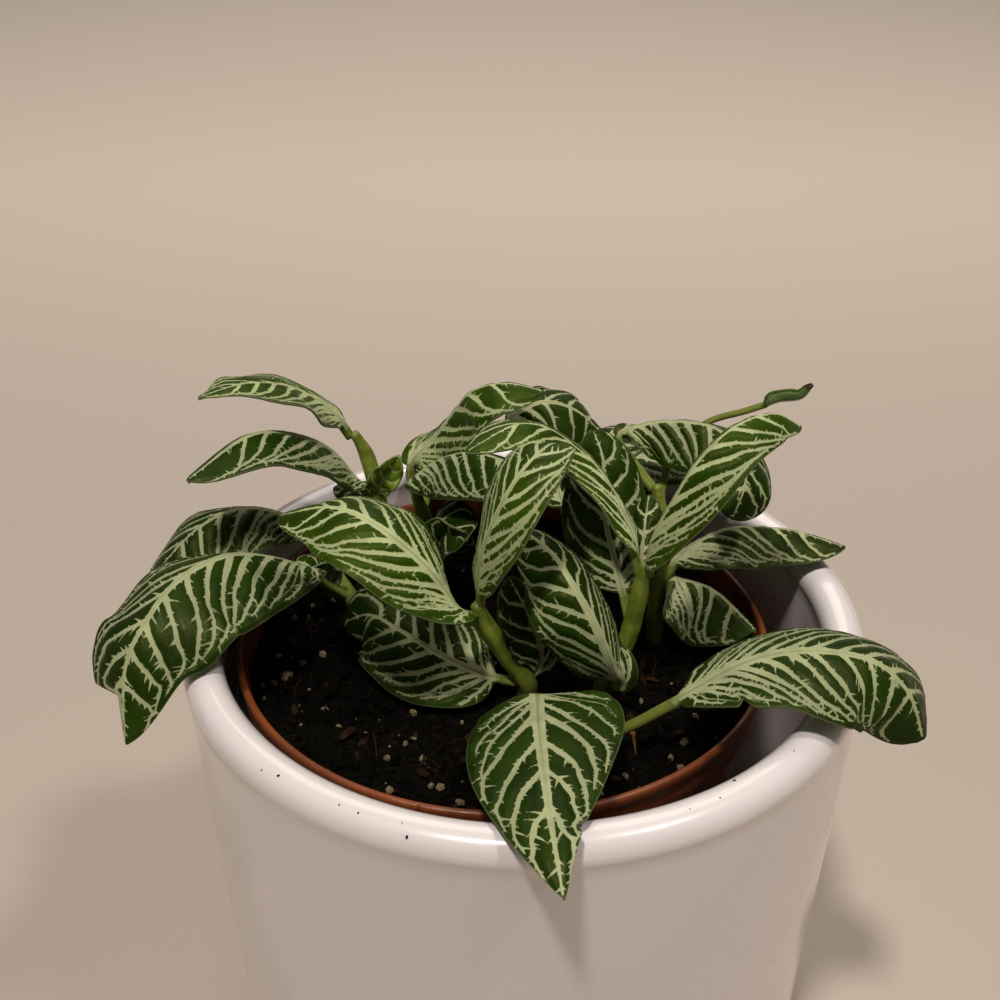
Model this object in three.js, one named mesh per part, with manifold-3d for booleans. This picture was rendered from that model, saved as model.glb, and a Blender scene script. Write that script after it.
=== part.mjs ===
// Potted nerve plant: a glazed ceramic cover pot, the plastic nursery pot inside it, its soil,
// and leafy stems whose blades arch over the rim.
// Units are millimetres and +Z is up. The origin is the centre of the cover pot's flat base,
// and the side that is seen in the photograph faces -Y.

import * as THREE from 'three';
import { mergeVertices } from 'three/addons/utils/BufferGeometryUtils.js';
import Module from 'manifold-3d';

const wasm = await Module();
wasm.setup();

// Cover pot
const POT_HEIGHT = 125;
const POT_RADIUS = 75;
const LIP_RADIUS = 4.3;
const POT_WALL = 6.3;
const POT_TAPER = 0.0224;
const POT_FLOOR = 6;
const POT_FOOT_ROUND = 6;
const POT_SIDES = 48;

// Nursery pot, standing off centre on the floor of the cover pot
const NURSERY_X = -4.4;
const NURSERY_Y = 3.9;
const NURSERY_TOP = 114.8;
const NURSERY_RADIUS = 60.5;
const NURSERY_RIM_WIDTH = 1.6;
const NURSERY_RIM_DEPTH = 9;
const NURSERY_WALL = 1.2;
const NURSERY_FOOT_RADIUS = 44;
const NURSERY_SIDES = 48;
const DRAIN_RADIUS = 4;
const DRAIN_CIRCLE = 30;
const DRAIN_COUNT = 6;

// Soil
const SOIL_LEVEL = 109;
const SOIL_ROUGHNESS = 0.7;
const SOIL_RINGS = 7;
const SOIL_SIDES = 32;
const STEM_SINK = 14;

// The gap that is left between solids that rest on each other
const GAP = 0.3;

// Leaves
const BLADE_THICKNESS = 0.65;
const STALK_HALF = 1.25;
const STALK_THICKNESS = 2.1;
const TIP_HALF = 0.35;
const BLADE_STEPS = 10;
const STALK_STEP = 7;
const ACROSS = [-1, -0.5, 0, 0.5, 1];

// A leaf's spine runs from the middle of its stem, along the stalk, to the tip of the blade.
// face is the way that the upper side looks. fold lifts the left and right halves at the midrib,
// and curl bends them on to the margin, in degrees, left and right as seen from above with the tip
// ahead. faceTip and foldTip are face and fold at the tip, where they differ from the base.
// belly is where the blade is widest, from 0 at its base to 1 at its tip, and a smaller margin gives
// a blunter base. wave is the height of the ripples along the margin. slim is the share of its width
// that each half lacks all along, lop the share that it has lost at the tip, and past torn most of the
// right half is missing. stout is the stalk's thickness against the usual one.
const STEMS = {
  stem_left: {
    radius: 1.9,
    path: [[-40, 16, 111], [-42, 17, 115], [-45, 19, 121]],
    leaves: [
      { spine: [[-41, 17, 114], [-46, 13, 121], [-51, 8, 129], [-63, -4, 139], [-72, -14, 139],
        [-77, -24, 135], [-80, -30, 129], [-80, -38, 115]],
        stalk: 14, width: 37, face: [-0.3, 0, 1], faceTip: [-0.3, -0.9, 0.3],
        fold: [-20, -27], foldTip: [-20, -16], curl: [-15, -15], belly: 0.46, margin: 0.62,
        wave: 0.2, torn: 0.85 },
      { spine: [[-45, 19, 120], [-48, 23, 124], [-53, 23, 130], [-60, 20, 136], [-67, 14, 139],
        [-74, 8, 137], [-83, 0, 129]],
        stalk: 9, width: 26, face: [-0.3, 0, 1], fold: [-32, -8], curl: [-15, -10], belly: 0.56,
        margin: 0.75 },
      { spine: [[-42, 17, 116], [-46, 14, 121], [-49, 10, 126], [-51, 7, 126]],
        stalk: 3, width: 9, face: [0.3, 0.3, 1], fold: [35, 35], curl: [20, 20] },
    ],
  },
  stem_back_left: {
    radius: 1.9,
    path: [[-31, 32, 111], [-34, 34, 122], [-36, 36, 134], [-38, 37, 142], [-40.5, 36, 148]],
    leaves: [
      { spine: [[-40.5, 36.2, 147], [-43, 35, 152], [-47.5, 32, 158.5], [-54, 26, 165], [-61, 18, 169],
        [-69, 9, 170]],
        stalk: 3, width: 22, margin: 0.95, face: [0.2, -0.35, 1], faceTip: [0, 0.1, 1],
        fold: [-6, -16], foldTip: [-6, -8], curl: [4, -6], wave: 0.3 },
      { spine: [[-35, 35, 126], [-37, 36, 131], [-40, 34, 137], [-44, 30, 146], [-50, 23, 154],
        [-59, 12, 160], [-70, -4, 157]],
        stalk: 9, width: 26, face: [0, 0.1, 1], fold: [-46, -30], foldTip: [-8, -30], curl: [-12, -15],
        wave: 0.3 },
      { spine: [[-36, 35, 130], [-34, 32, 136], [-31, 29, 141], [-29, 27, 146]],
        stalk: 2, width: 7, face: [0, -1, 0.4], fold: [15, 15], curl: [10, 10] },
      { spine: [[-35, 35, 126], [-38, 37, 129], [-42, 39, 131], [-47, 41, 130]],
        stalk: 3, width: 10, face: [0, -0.2, 1], fold: [-10, -10], curl: [-15, -15] },
    ],
  },
  stem_back: {
    radius: 1.8,
    path: [[-22, 40, 111], [-24, 40, 120], [-27, 40, 131]],
    leaves: [
      { spine: [[-27, 40, 130], [-27, 41, 137], [-22, 40, 144], [-17, 38, 152], [-12, 36, 159],
        [-4, 34, 162], [5, 32, 161]],
        stalk: 6, width: 26, face: [0.1, -0.3, 1],
        fold: [-16, -12], foldTip: [-50, -12], curl: [-15, -15], wave: 0.3 },
      { spine: [[-26, 40, 128], [-25, 36, 137], [-18, 30, 145], [-10, 22, 150],
        [-1, 13, 151], [6, 6, 150]],
        stalk: 7, width: 25, face: [0, 0, 1], fold: [-25, -35], curl: [-15, -15], wave: 0.3 },
      { spine: [[-24, 40, 119], [-25, 32, 122], [-23, 24, 127], [-18, 16, 133], [-13, 8, 135]],
        stalk: 14, width: 18, face: [0, -0.8, 0.8], fold: [-10, -20], curl: [-15, -15] },
      { spine: [[-22, 40, 112], [-24, 31, 117], [-21, 21, 123], [-17, 15, 130], [-13, 9, 136]],
        stalk: 14, width: 15, face: [0.3, -0.9, 0.5], fold: [-10, -10], curl: [-15, -15] },
      { spine: [[-25, 41, 124], [-22, 48, 129], [-19, 57, 131], [-17, 66, 130], [-16, 74, 126]],
        stalk: 6, width: 22, face: [0, 0.2, 1], fold: [-12, -12], curl: [-15, -15] },
      { spine: [[-22, 40, 116], [-15, 42, 130], [-8, 43, 141], [-1, 43, 150], [6, 43, 153],
        [14, 44, 150], [21, 46, 142]],
        stalk: 36, width: 22, face: [0, -0.3, 1], fold: [-15, -30], curl: [-15, -15] },
    ],
  },
  stem_front: {
    radius: 2.1,
    path: [[1, -16, 113], [-3, -16, 120], [-7, -17, 128], [-10, -18, 136]],
    leaves: [
      { spine: [[-10, -18, 134], [-13, -22, 138], [-19, -23, 148], [-27, -21, 155], [-34, -17, 157],
        [-40, -13, 156], [-51, -8, 151]],
        stalk: 4, width: 24, face: [-0.1, -0.1, 1],
        fold: [-14, 0], foldTip: [-14, -22], curl: [-14, -18] },
      { spine: [[-10, -18, 135], [-9, -21, 149], [-6, -22, 159], [-3, -21, 165], [1, -17, 169],
        [5, -12, 170], [8, -7, 167]],
        stalk: 4, width: 18, face: [-0.7, -0.4, 0.6], faceTip: [-0.3, -0.3, 1],
        fold: [-10, -10], curl: [-10, -12] },
      { spine: [[-1, -16, 114], [-9, -17, 117], [-18, -13, 119], [-27, -8, 122], [-34, -4, 123],
        [-40, -3, 120]],
        stalk: 5, width: 25, face: [0, -0.6, 1], fold: [-8, -8], curl: [-12, -12] },
      { spine: [[1, -16, 113], [4, -16, 119], [3, -16, 126], [0, -13, 132], [-3, -8, 136]],
        stalk: 3, width: 14, face: [0.5, -1, 0.4], fold: [-8, -8], curl: [-12, -12] },
    ],
  },
  stem_front_low: {
    radius: 1.6,
    path: [[12, -30, 111], [11, -29.5, 113.5], [10, -29, 116]],
    leaves: [
      { spine: [[11.5, -29.5, 113], [16, -31.5, 113.5], [22, -33.5, 118.3], [27.5, -34.5, 123.2],
        [33, -35, 127.5], [41, -34.5, 133], [50, -34, 136], [59, -35, 137], [68, -36.5, 135.5],
        [74.5, -39, 130], [78.5, -41, 120]],
        stalk: 24, width: 29, belly: 0.6, margin: 0.58, face: [-0.1, 0, 1], faceTip: [0.1, -0.3, 0.9],
        fold: [-12, 8], foldTip: [-24, -32], curl: [-20, -15], wave: 0.2 },
      { spine: [[9.5, -29, 114.5], [6, -27.5, 118], [3, -29.5, 121.8], [2.5, -35, 124], [2.5, -43, 126],
        [3, -57, 128], [4, -71, 129], [5, -79, 128], [6, -85, 124.5]],
        stalk: 11, width: 38.5, belly: 0.33, margin: 0.4, face: [-0.16, -0.3, 1], faceTip: [0, -0.3, 1],
        fold: [4, -8], foldTip: [-14, -8], curl: [-14, -10], slim: [-0.06, 0.22], lop: [0.72, 0.06],
        wave: 0.3 },
    ],
  },
  stem_centre: {
    radius: 1.8,
    path: [[17, -16, 111], [19, -16, 117], [22, -15, 124], [24, -14, 134], [25, -13, 143]],
    leaves: [
      { spine: [[18, -16, 114], [20, -22, 118], [18, -26, 127], [14, -25, 137], [9, -20, 144],
        [6, -15, 146], [1, -9, 147], [-2, -4, 145]],
        stalk: 6, width: 24, belly: 0.46, margin: 0.7, face: [-0.2, -1, 0.7],
        fold: [-8, -72], foldTip: [4, -64], curl: [-14, -14] },
      { spine: [[25, -13, 140], [25, -16, 150], [29, -16, 160], [34, -14, 168], [41, -10, 173],
        [50, -4, 173], [57, 0, 168]],
        stalk: 3, width: 19, face: [-0.7, -0.1, 0.7], faceTip: [0, -0.1, 1],
        fold: [-36, -32], curl: [-10, -10] },
      { spine: [[25, -13, 140], [23, -10, 147], [20, -5, 153], [15, 0, 159], [11, 2, 162],
        [6, 2, 166], [-1, -1, 169], [-12, -8, 166]],
        stalk: 4, width: 16, face: [0.7, 0, 0.7], faceTip: [0.1, 0.1, 1],
        fold: [-14, -14], curl: [-10, -10] },
      { spine: [[22.5, -14.5, 128], [20, -6, 137], [18, 2, 144], [18, 7, 150], [17, 11, 156],
        [15, 14, 160]],
        stalk: 7, width: 21, face: [-0.3, -0.9, 0.5], faceTip: [-0.1, -0.6, 1],
        fold: [-10, -40], foldTip: [-10, -20], curl: [-14, -14] },
      { spine: [[24, -13, 137], [25, -7, 142], [26, -2, 146], [27, 3, 150]],
        stalk: 5, width: 9, face: [-0.2, -0.9, 0.5], fold: [-30, -10], curl: [-14, -14] },
    ],
  },
  stem_right: {
    radius: 1.9,
    path: [[31, 5, 111], [31, 6, 118], [31, 8, 128], [31, 11, 139], [30, 13, 147]],
    leaves: [
      { spine: [[30, 13, 146], [25, 18, 151], [22, 21, 155], [28, 23, 157.5], [35, 22, 158.5],
        [42, 19, 158.5], [48, 14, 156], [49, 9, 150], [46, 4, 143]],
        stalk: 15, width: 24, margin: 0.45, face: [0.1, 0, 1], faceTip: [0.6, -0.6, 0.8],
        fold: [-50, -50], foldTip: [0, -30], curl: [-14, -14], wave: 0.3 },
      { spine: [[31, 7, 124], [36, 10, 130], [43, 14, 133], [51, 18, 133], [63, 18, 132], [75, 14, 130]],
        stalk: 6, width: 23, face: [0, 0, 1], fold: [-38, -22], curl: [-14, -14] },
      { spine: [[31, 5, 115], [31, 8, 121], [33, 9, 125], [37, 8, 125], [43, 6, 124],
        [48, 3, 121], [53, -1, 117]],
        stalk: 11, width: 29, margin: 0.4, face: [0, -0.2, 1], fold: [-50, -24], curl: [-14, -6],
        wave: 0.3 },
      { spine: [[31, 11, 139], [32, 20, 143], [36, 28, 149], [43, 31, 154], [51, 28, 158.5],
        [58, 26, 162], [62.5, 25, 163], [64.6, 24.6, 166.2]],
        stalk: 44, stout: 0.7, width: 3.6, face: [-0.5, 0, 1], fold: [60, 60], curl: [30, 30], wave: 0.1 },
    ],
  },
  stem_rear: {
    radius: 1.8,
    path: [[14, 34, 111], [14, 35, 118], [14, 37, 127], [15, 38, 135]],
    leaves: [
      { spine: [[15, 38, 133], [19, 43, 138], [23, 51, 140], [26, 60, 138], [27, 69, 131]],
        stalk: 5, width: 25, face: [0, 0.2, 1], fold: [-12, -12], curl: [-15, -15] },
      { spine: [[15, 38, 132], [23, 37, 138], [33, 38, 142], [44, 40, 141], [54, 42, 134]],
        stalk: 5, width: 23, face: [0.2, 0.1, 1], fold: [-12, -12], curl: [-15, -15] },
      { spine: [[14, 36, 122], [19, 42, 127], [29, 50, 132], [39, 57, 133], [50, 64, 129]],
        stalk: 7, width: 23, face: [0.1, 0.2, 1], fold: [-12, -12], curl: [-15, -15] },
      { spine: [[14, 36, 121], [10, 41, 128], [8, 49, 133], [8, 58, 134], [8, 67, 129]],
        stalk: 6, width: 20, face: [0, 0.2, 1], fold: [-12, -12], curl: [-15, -15] },
    ],
  },
};

// Turns a closed geometry into a solid that can be joined and cut.
function solidOf(geometry) {
  const bare = geometry.index ? geometry.toNonIndexed() : geometry.clone();
  bare.deleteAttribute('normal');
  bare.deleteAttribute('uv');
  const merged = mergeVertices(bare, 1e-4);
  return new wasm.Manifold(new wasm.Mesh({
    numProp: 3,
    vertProperties: new Float32Array(merged.attributes.position.array),
    triVerts: new Uint32Array(merged.index.array),
  }));
}

function geometryOf(solid) {
  const mesh = solid.getMesh();
  const geometry = new THREE.BufferGeometry();
  geometry.setAttribute('position', new THREE.BufferAttribute(new Float32Array(mesh.vertProperties), 3));
  geometry.setIndex(new THREE.BufferAttribute(new Uint32Array(mesh.triVerts), 1));
  geometry.computeVertexNormals();
  return geometry;
}

// Turns a profile of (radius, height) points about the Z axis.
function turned(profile, sides) {
  const geometry = new THREE.LatheGeometry(profile, sides);
  geometry.rotateX(Math.PI / 2);
  return geometry;
}

// Points on an arc in the profile plane, with angles in degrees from the outward direction.
function arc(radius, height, size, from, to, steps) {
  return Array.from({ length: steps + 1 }, (_, i) => {
    const angle = THREE.MathUtils.degToRad(from + (to - from) * i / steps);
    return new THREE.Vector2(radius + size * Math.cos(angle), height + size * Math.sin(angle));
  });
}

function coverPot() {
  const lipCentre = POT_RADIUS - LIP_RADIUS;
  const lipHeight = POT_HEIGHT - LIP_RADIUS;
  const wallTop = POT_RADIUS - 0.5;
  const foot = wallTop - POT_TAPER * lipHeight;
  const inner = wallTop - POT_WALL;
  return turned([
    new THREE.Vector2(0, 0),
    ...arc(foot - POT_FOOT_ROUND, POT_FOOT_ROUND, POT_FOOT_ROUND, -90, 0, 4),
    ...arc(lipCentre, lipHeight, LIP_RADIUS, -20, 200, 10),
    new THREE.Vector2(inner - POT_TAPER * lipHeight, POT_FLOOR + 4),
    new THREE.Vector2(inner - POT_TAPER * lipHeight - 4, POT_FLOOR),
    new THREE.Vector2(0, POT_FLOOR),
  ], POT_SIDES);
}

// The nursery pot: a thin tapered wall with a deeper rim band, and drain holes in its floor.
function nurseryPot() {
  const floor = POT_FLOOR + GAP;
  const bandFoot = NURSERY_TOP - NURSERY_RIM_DEPTH;
  const bandInner = NURSERY_RADIUS - NURSERY_RIM_WIDTH;
  const solid = solidOf(turned([
    new THREE.Vector2(0, floor),
    new THREE.Vector2(NURSERY_FOOT_RADIUS, floor),
    new THREE.Vector2(bandInner - 0.6, bandFoot),
    new THREE.Vector2(NURSERY_RADIUS - 0.9, bandFoot),
    new THREE.Vector2(NURSERY_RADIUS, NURSERY_TOP - 0.8),
    new THREE.Vector2(NURSERY_RADIUS - 0.8, NURSERY_TOP),
    new THREE.Vector2(bandInner + 0.6, NURSERY_TOP),
    new THREE.Vector2(bandInner, NURSERY_TOP - 0.8),
    new THREE.Vector2(bandInner - 0.6 - NURSERY_WALL, bandFoot),
    new THREE.Vector2(NURSERY_FOOT_RADIUS - NURSERY_WALL, floor + NURSERY_WALL),
    new THREE.Vector2(0, floor + NURSERY_WALL),
  ], NURSERY_SIDES));
  const drains = Array.from({ length: DRAIN_COUNT }, (_, i) => {
    const turn = 2 * Math.PI * i / DRAIN_COUNT;
    const drain = new THREE.CylinderGeometry(DRAIN_RADIUS, DRAIN_RADIUS, 8 * NURSERY_WALL, 10);
    drain.rotateX(Math.PI / 2);
    drain.translate(DRAIN_CIRCLE * Math.cos(turn), DRAIN_CIRCLE * Math.sin(turn), floor);
    return solidOf(drain);
  });
  return geometryOf(wasm.Manifold.difference([solid, ...drains]));
}

// Height of the soil's crumbly top at a place, from three crossed ripples.
function soilTop(x, y) {
  const ripple = Math.sin(0.42 * x + 0.8) * Math.cos(0.37 * y)
    + 0.6 * Math.sin(0.71 * y - 0.33 * x) + 0.5 * Math.cos(0.93 * x + 0.64 * y);
  return SOIL_LEVEL + SOIL_ROUGHNESS * ripple;
}

// The soil fills the nursery pot. Its top is a fan of rings, and stems stand in plain holes in it.
function soil() {
  const floor = POT_FLOOR + 2 * GAP + NURSERY_WALL;
  const bandInner = NURSERY_RADIUS - NURSERY_RIM_WIDTH - 0.6 - NURSERY_WALL;
  const footRadius = NURSERY_FOOT_RADIUS - NURSERY_WALL - 2 * GAP;
  const bandFoot = NURSERY_TOP - NURSERY_RIM_DEPTH;
  const geometry = turned([
    new THREE.Vector2(0, floor),
    new THREE.Vector2(footRadius, floor),
    new THREE.Vector2(bandInner - 2 * GAP, bandFoot),
    new THREE.Vector2(bandInner - GAP, SOIL_LEVEL),
    ...Array.from({ length: SOIL_RINGS - 1 }, (_, i) => (
      new THREE.Vector2((bandInner - GAP) * (1 - (i + 1) / SOIL_RINGS), SOIL_LEVEL))),
    new THREE.Vector2(0, SOIL_LEVEL),
  ], SOIL_SIDES);
  const position = geometry.attributes.position;
  for (let i = 0; i < position.count; i += 1) {
    const x = position.getX(i);
    const y = position.getY(i);
    if (position.getZ(i) > SOIL_LEVEL - 0.1 && Math.hypot(x, y) < bandInner - 2) {
      position.setZ(i, soilTop(x, y));
    }
  }
  const holes = Object.values(STEMS).map(({ radius, path }) => {
    const hole = new THREE.CylinderGeometry(radius + GAP, radius + GAP, STEM_SINK + 10, 8);
    hole.rotateX(Math.PI / 2);
    hole.translate(path[0][0] - NURSERY_X, path[0][1] - NURSERY_Y, SOIL_LEVEL + 5 - STEM_SINK / 2);
    return solidOf(hole);
  });
  return geometryOf(wasm.Manifold.difference([solidOf(geometry), ...holes]));
}

// A stem: a round rod along a smooth path, whose foot goes straight down into the soil.
function stemRod(radius, path) {
  const [x, y] = path[0];
  const foot = [STEM_SINK - GAP, STEM_SINK / 2, 0].map((sink) => [x, y, SOIL_LEVEL - sink]);
  const points = [...foot, ...path];
  const curve = new THREE.CatmullRomCurve3(points.map((point) => new THREE.Vector3(...point)));
  const outline = new THREE.Shape();
  outline.absarc(0, 0, radius, 0, 2 * Math.PI);
  const rod = new THREE.ExtrudeGeometry(outline, {
    steps: Math.round(curve.getLength() / 6),
    curveSegments: 4,
    bevelEnabled: false,
    extrudePath: curve,
  });
  return solidOf(rod);
}

// How wide the blade is, as a share of its greatest width, at t from base (0) to tip (1).
function bladeShare(t, belly, margin) {
  const fall = margin * (1 - belly) / belly;
  const peak = belly ** margin * (1 - belly) ** fall;
  return t ** margin * (1 - t) ** fall / peak;
}

// A leaf: sections of five upper and five lower points, set across the spine from the foot of the
// stalk to the tip of the blade, and joined into one closed skin.
function leafSolid(leaf, number) {
  const { spine, stalk, width, face, faceTip = face, fold, foldTip = fold, curl } = leaf;
  const { belly = 0.47, margin = 0.55, wave = 0.5, stout = 1, torn = 2 } = leaf;
  const { slim = [0, 0], lop = [0, 0] } = leaf;
  const curve = new THREE.CatmullRomCurve3(spine.map((point) => new THREE.Vector3(...point)));
  const length = curve.getLength();
  const blade = length - stalk;
  const stalkSteps = Math.ceil(stalk / STALK_STEP);
  const places = [
    ...Array.from({ length: stalkSteps }, (_, i) => stalk * i / stalkSteps),
    ...Array.from({ length: BLADE_STEPS + 1 }, (_, i) => {
      const even = i / BLADE_STEPS;
      return stalk + blade * (0.6 * even + 0.2 * (1 - Math.cos(Math.PI * even)));
    }),
  ];
  const points = [];
  places.forEach((place) => {
    const t = Math.min(1, Math.max(0, (place - stalk) / blade));
    const centre = curve.getPointAt(place / length);
    const ahead = curve.getTangentAt(place / length);
    const look = new THREE.Vector3(...face).lerp(new THREE.Vector3(...faceTip), t);
    const left = look.clone().cross(ahead).normalize();
    const up = ahead.clone().cross(left);
    const share = bladeShare(t, belly, margin);
    const half = Math.max(TIP_HALF, Math.hypot(STALK_HALF * stout * (1 - t), width / 2 * share));
    const core = THREE.MathUtils.lerp(STALK_THICKNESS * stout, BLADE_THICKNESS, Math.sqrt(t));
    const upper = ACROSS.map((across) => {
      const side = across < 0 ? 1 : 0;
      const whole = side === 1 && t > torn ? 0.2 : 1 - slim[side] - lop[side] * t;
      const reach = Math.abs(across) * half * whole;
      const lift = THREE.MathUtils.lerp(fold[side], foldTip[side], t) * Math.min(1, 8 * t);
      const bend = THREE.MathUtils.degToRad(lift + curl[side] * reach / width);
      const ripple = wave * across * across * Math.min(1, half / 5)
        * Math.sin(2 * Math.PI * 2.5 * t + 1.9 * number + 2.4 * side);
      return centre.clone()
        .addScaledVector(left, Math.sign(across) * reach * Math.cos(bend))
        .addScaledVector(up, reach * Math.sin(bend) + ripple);
    });
    const lower = upper.map((point, i) => point.clone()
      .addScaledVector(up, -THREE.MathUtils.lerp(core, BLADE_THICKNESS, ACROSS[i] ** 2)));
    points.push(...upper, ...lower.reverse());
  });
  const around = 2 * ACROSS.length;
  const last = points.length - around;
  const index = [];
  for (let s = 0; s < last; s += around) {
    for (let i = 0; i < around; i += 1) {
      const a = s + i;
      const b = s + (i + 1) % around;
      const even = i < ACROSS.length - 1;
      if (even) {
        index.push(a, b + around, b, a, a + around, b + around);
      } else {
        index.push(a, a + around, b, b, a + around, b + around);
      }
    }
  }
  for (let i = 0; i < ACROSS.length - 1; i += 1) {
    const j = around - 1 - i;
    index.push(i, j - 1, j, i, i + 1, j - 1);
    index.push(last + i, last + j, last + j - 1, last + i, last + j - 1, last + i + 1);
  }
  const geometry = new THREE.BufferGeometry();
  const coordinates = points.flatMap((point) => point.toArray());
  geometry.setAttribute('position', new THREE.Float32BufferAttribute(coordinates, 3));
  geometry.setIndex(index);
  return solidOf(geometry);
}

// A leafy stem: its rod and its leaves, grown together as one body.
function leafyStem({ radius, path, leaves }) {
  const parts = [stemRod(radius, path), ...leaves.map(leafSolid)];
  return geometryOf(wasm.Manifold.union(parts));
}

function material(color, roughness) {
  return new THREE.MeshStandardMaterial({ color, roughness, metalness: 0, side: THREE.DoubleSide });
}

const GLAZE = material('#ddd3c9', 0.15);
const PLASTIC = material('#8a4522', 0.4);
const PEAT = material('#1c1712', 0.95);
const FOLIAGE = material('#2c5219', 0.4);

function add(group, name, geometry, finish, x = 0, y = 0) {
  const mesh = new THREE.Mesh(geometry, finish);
  mesh.name = name;
  mesh.position.set(x, y, 0);
  group.add(mesh);
}

const group = new THREE.Group();
add(group, 'cover_pot', coverPot(), GLAZE);
add(group, 'nursery_pot', nurseryPot(), PLASTIC, NURSERY_X, NURSERY_Y);
add(group, 'soil', soil(), PEAT, NURSERY_X, NURSERY_Y);
Object.entries(STEMS).forEach(([name, stem]) => add(group, name, leafyStem(stem), FOLIAGE));

export default group;
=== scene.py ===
# %% [markdown]
# # A potted nerve plant
# A nerve plant grows in a plastic nursery pot that stands inside a round glazed cover pot. The packed
# CAD model gives the frame: metres, +Z up, the origin in the middle of the cover pot's base, and the
# side that the photograph shows towards -Y. Each cell below explains one piece or finish and makes it.

# %% Load the packed model
import bpy
import numpy as np
from mathutils import Matrix


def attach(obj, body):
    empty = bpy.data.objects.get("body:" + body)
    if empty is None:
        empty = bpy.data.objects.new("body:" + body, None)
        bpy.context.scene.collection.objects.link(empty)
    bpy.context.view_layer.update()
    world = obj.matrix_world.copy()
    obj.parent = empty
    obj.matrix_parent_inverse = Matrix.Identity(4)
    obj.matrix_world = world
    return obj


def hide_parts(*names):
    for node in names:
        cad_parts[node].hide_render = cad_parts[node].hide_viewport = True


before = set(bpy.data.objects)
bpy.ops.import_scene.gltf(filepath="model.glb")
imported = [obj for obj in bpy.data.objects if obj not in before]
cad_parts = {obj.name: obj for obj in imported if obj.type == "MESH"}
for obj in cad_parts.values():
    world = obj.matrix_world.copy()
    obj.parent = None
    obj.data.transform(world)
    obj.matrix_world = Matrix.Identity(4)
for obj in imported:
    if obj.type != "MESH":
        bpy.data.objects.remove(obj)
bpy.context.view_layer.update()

MM = 0.001

# %% [markdown]
# ## Camera
# The photograph looks down at the plant by about thirty degrees, from a quarter of a metre. A camera is
# set by three directions at right angles: where it looks, what is to its right, and what is up. They
# could come from a Track To constraint, but turning them from three angles keeps the small roll.

# %% Camera
YAW, PITCH, ROLL = np.radians([-0.19, 30.19, 0.12])
CAMERA_PLACE = np.array([-4.3, -221.2, 278.85]) * MM
SENSOR_WIDTH, LENS_LENGTH = 36, 43.2


def stand(right, up, back, place):
    """The matrix of an object at a place, with its x, y and z axes along three directions."""
    axes = np.column_stack([right, up, back, place])
    return Matrix(np.vstack([axes, [0, 0, 0, 1]]).tolist())


ahead = np.array([np.sin(YAW) * np.cos(PITCH), np.cos(YAW) * np.cos(PITCH), -np.sin(PITCH)])
right = np.array([np.cos(YAW), -np.sin(YAW), 0])
above = np.cross(right, ahead)
side_axis = np.cos(ROLL) * right + np.sin(ROLL) * above
up_axis = -np.sin(ROLL) * right + np.cos(ROLL) * above

scene = bpy.context.scene
camera = bpy.data.objects.new("camera", bpy.data.cameras.new("camera"))
scene.collection.objects.link(camera)
camera.data.sensor_width, camera.data.lens = SENSOR_WIDTH, LENS_LENGTH
camera.data.clip_start, camera.data.clip_end = 0.01, 20
camera.matrix_world = stand(side_axis, up_axis, -ahead, CAMERA_PLACE)
scene.camera = camera
print("camera at", np.round(np.array(camera.matrix_world.translation) / MM, 1).tolist(), "mm")

# %% [markdown]
# ## Helpers for surfaces
# Every new piece is a surface worked out as whole arrays. A few helpers turn such arrays into pieces:
# one makes the Blender object, and the others list the faces of a grid or a closed tube and set points
# in rings about a line. A Solidify modifier could thicken a sheet as well, but a leaf's thickness
# changes from place to place, so both of its sides are computed.

# %% Helpers for surfaces
def make_piece(name, points, faces, finish, node, values=None):
    """Makes an object at the origin from points (count, 3) in metres and lists of point numbers,
    stores each array of values as a point attribute, and hides the CAD node that it stands for."""
    mesh = bpy.data.meshes.new(name)
    mesh.from_pydata(points.reshape(-1, 3).tolist(), [], faces)
    for key, array in (values or {}).items():
        attribute = mesh.attributes.new(key, "FLOAT", "POINT")
        attribute.data.foreach_set("value", np.ascontiguousarray(array, np.float32).ravel())
    mesh.shade_smooth()
    mesh.materials.append(finish)
    piece = bpy.data.objects.new(name, mesh)
    scene.collection.objects.link(piece)
    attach(piece, "root")
    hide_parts(node)
    return piece


def quads(a, b, c, d):
    """Four-cornered faces from four equal arrays of point numbers, as lists."""
    return np.stack([a, b, c, d], -1).reshape(-1, 4).tolist()


def closed_tube(rows, sides):
    """Faces of a tube whose rings are rows, closed by one flat face at each end. Each ring runs
    anticlockwise as seen from ahead."""
    i = np.arange(rows * sides).reshape(rows, sides)
    j = np.roll(i, -1, axis=1)
    return quads(i[:-1], j[:-1], j[1:], i[1:]) + [i[0, ::-1].tolist(), i[-1].tolist()]


def moved_on(faces, by):
    """The same faces with every point number raised, for a mesh made of many alike parts."""
    return [[point + by for point in face] for face in faces]


def tube_points(line, ahead, toward, reach):
    """Rings of points about a line, each square to its direction ahead. reach (rows, sides) is how far
    a point lies from the line. A ring starts in the direction that is square to ahead and toward."""
    ahead = ahead / np.linalg.norm(ahead, axis=1, keepdims=True)
    across = np.cross(ahead, toward)
    across /= np.linalg.norm(across, axis=1, keepdims=True)
    other = np.cross(ahead, across)
    turn = 2 * np.pi * np.arange(reach.shape[1])[None, :, None] / reach.shape[1]
    return line[:, None] + reach[..., None] * (np.cos(turn) * across[:, None]
                                               + np.sin(turn) * other[:, None])


def smooth_step(low, high, x):
    """Runs from 0 at low to 1 at high, with level ends: 3u^2 - 2u^3 of the share u between them."""
    u = np.clip((x - low) / (high - low), 0, 1)
    return u * u * (3 - 2 * u)


print("a tube of 3 rings with 4 sides has", len(closed_tube(3, 4)), "faces")

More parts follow.
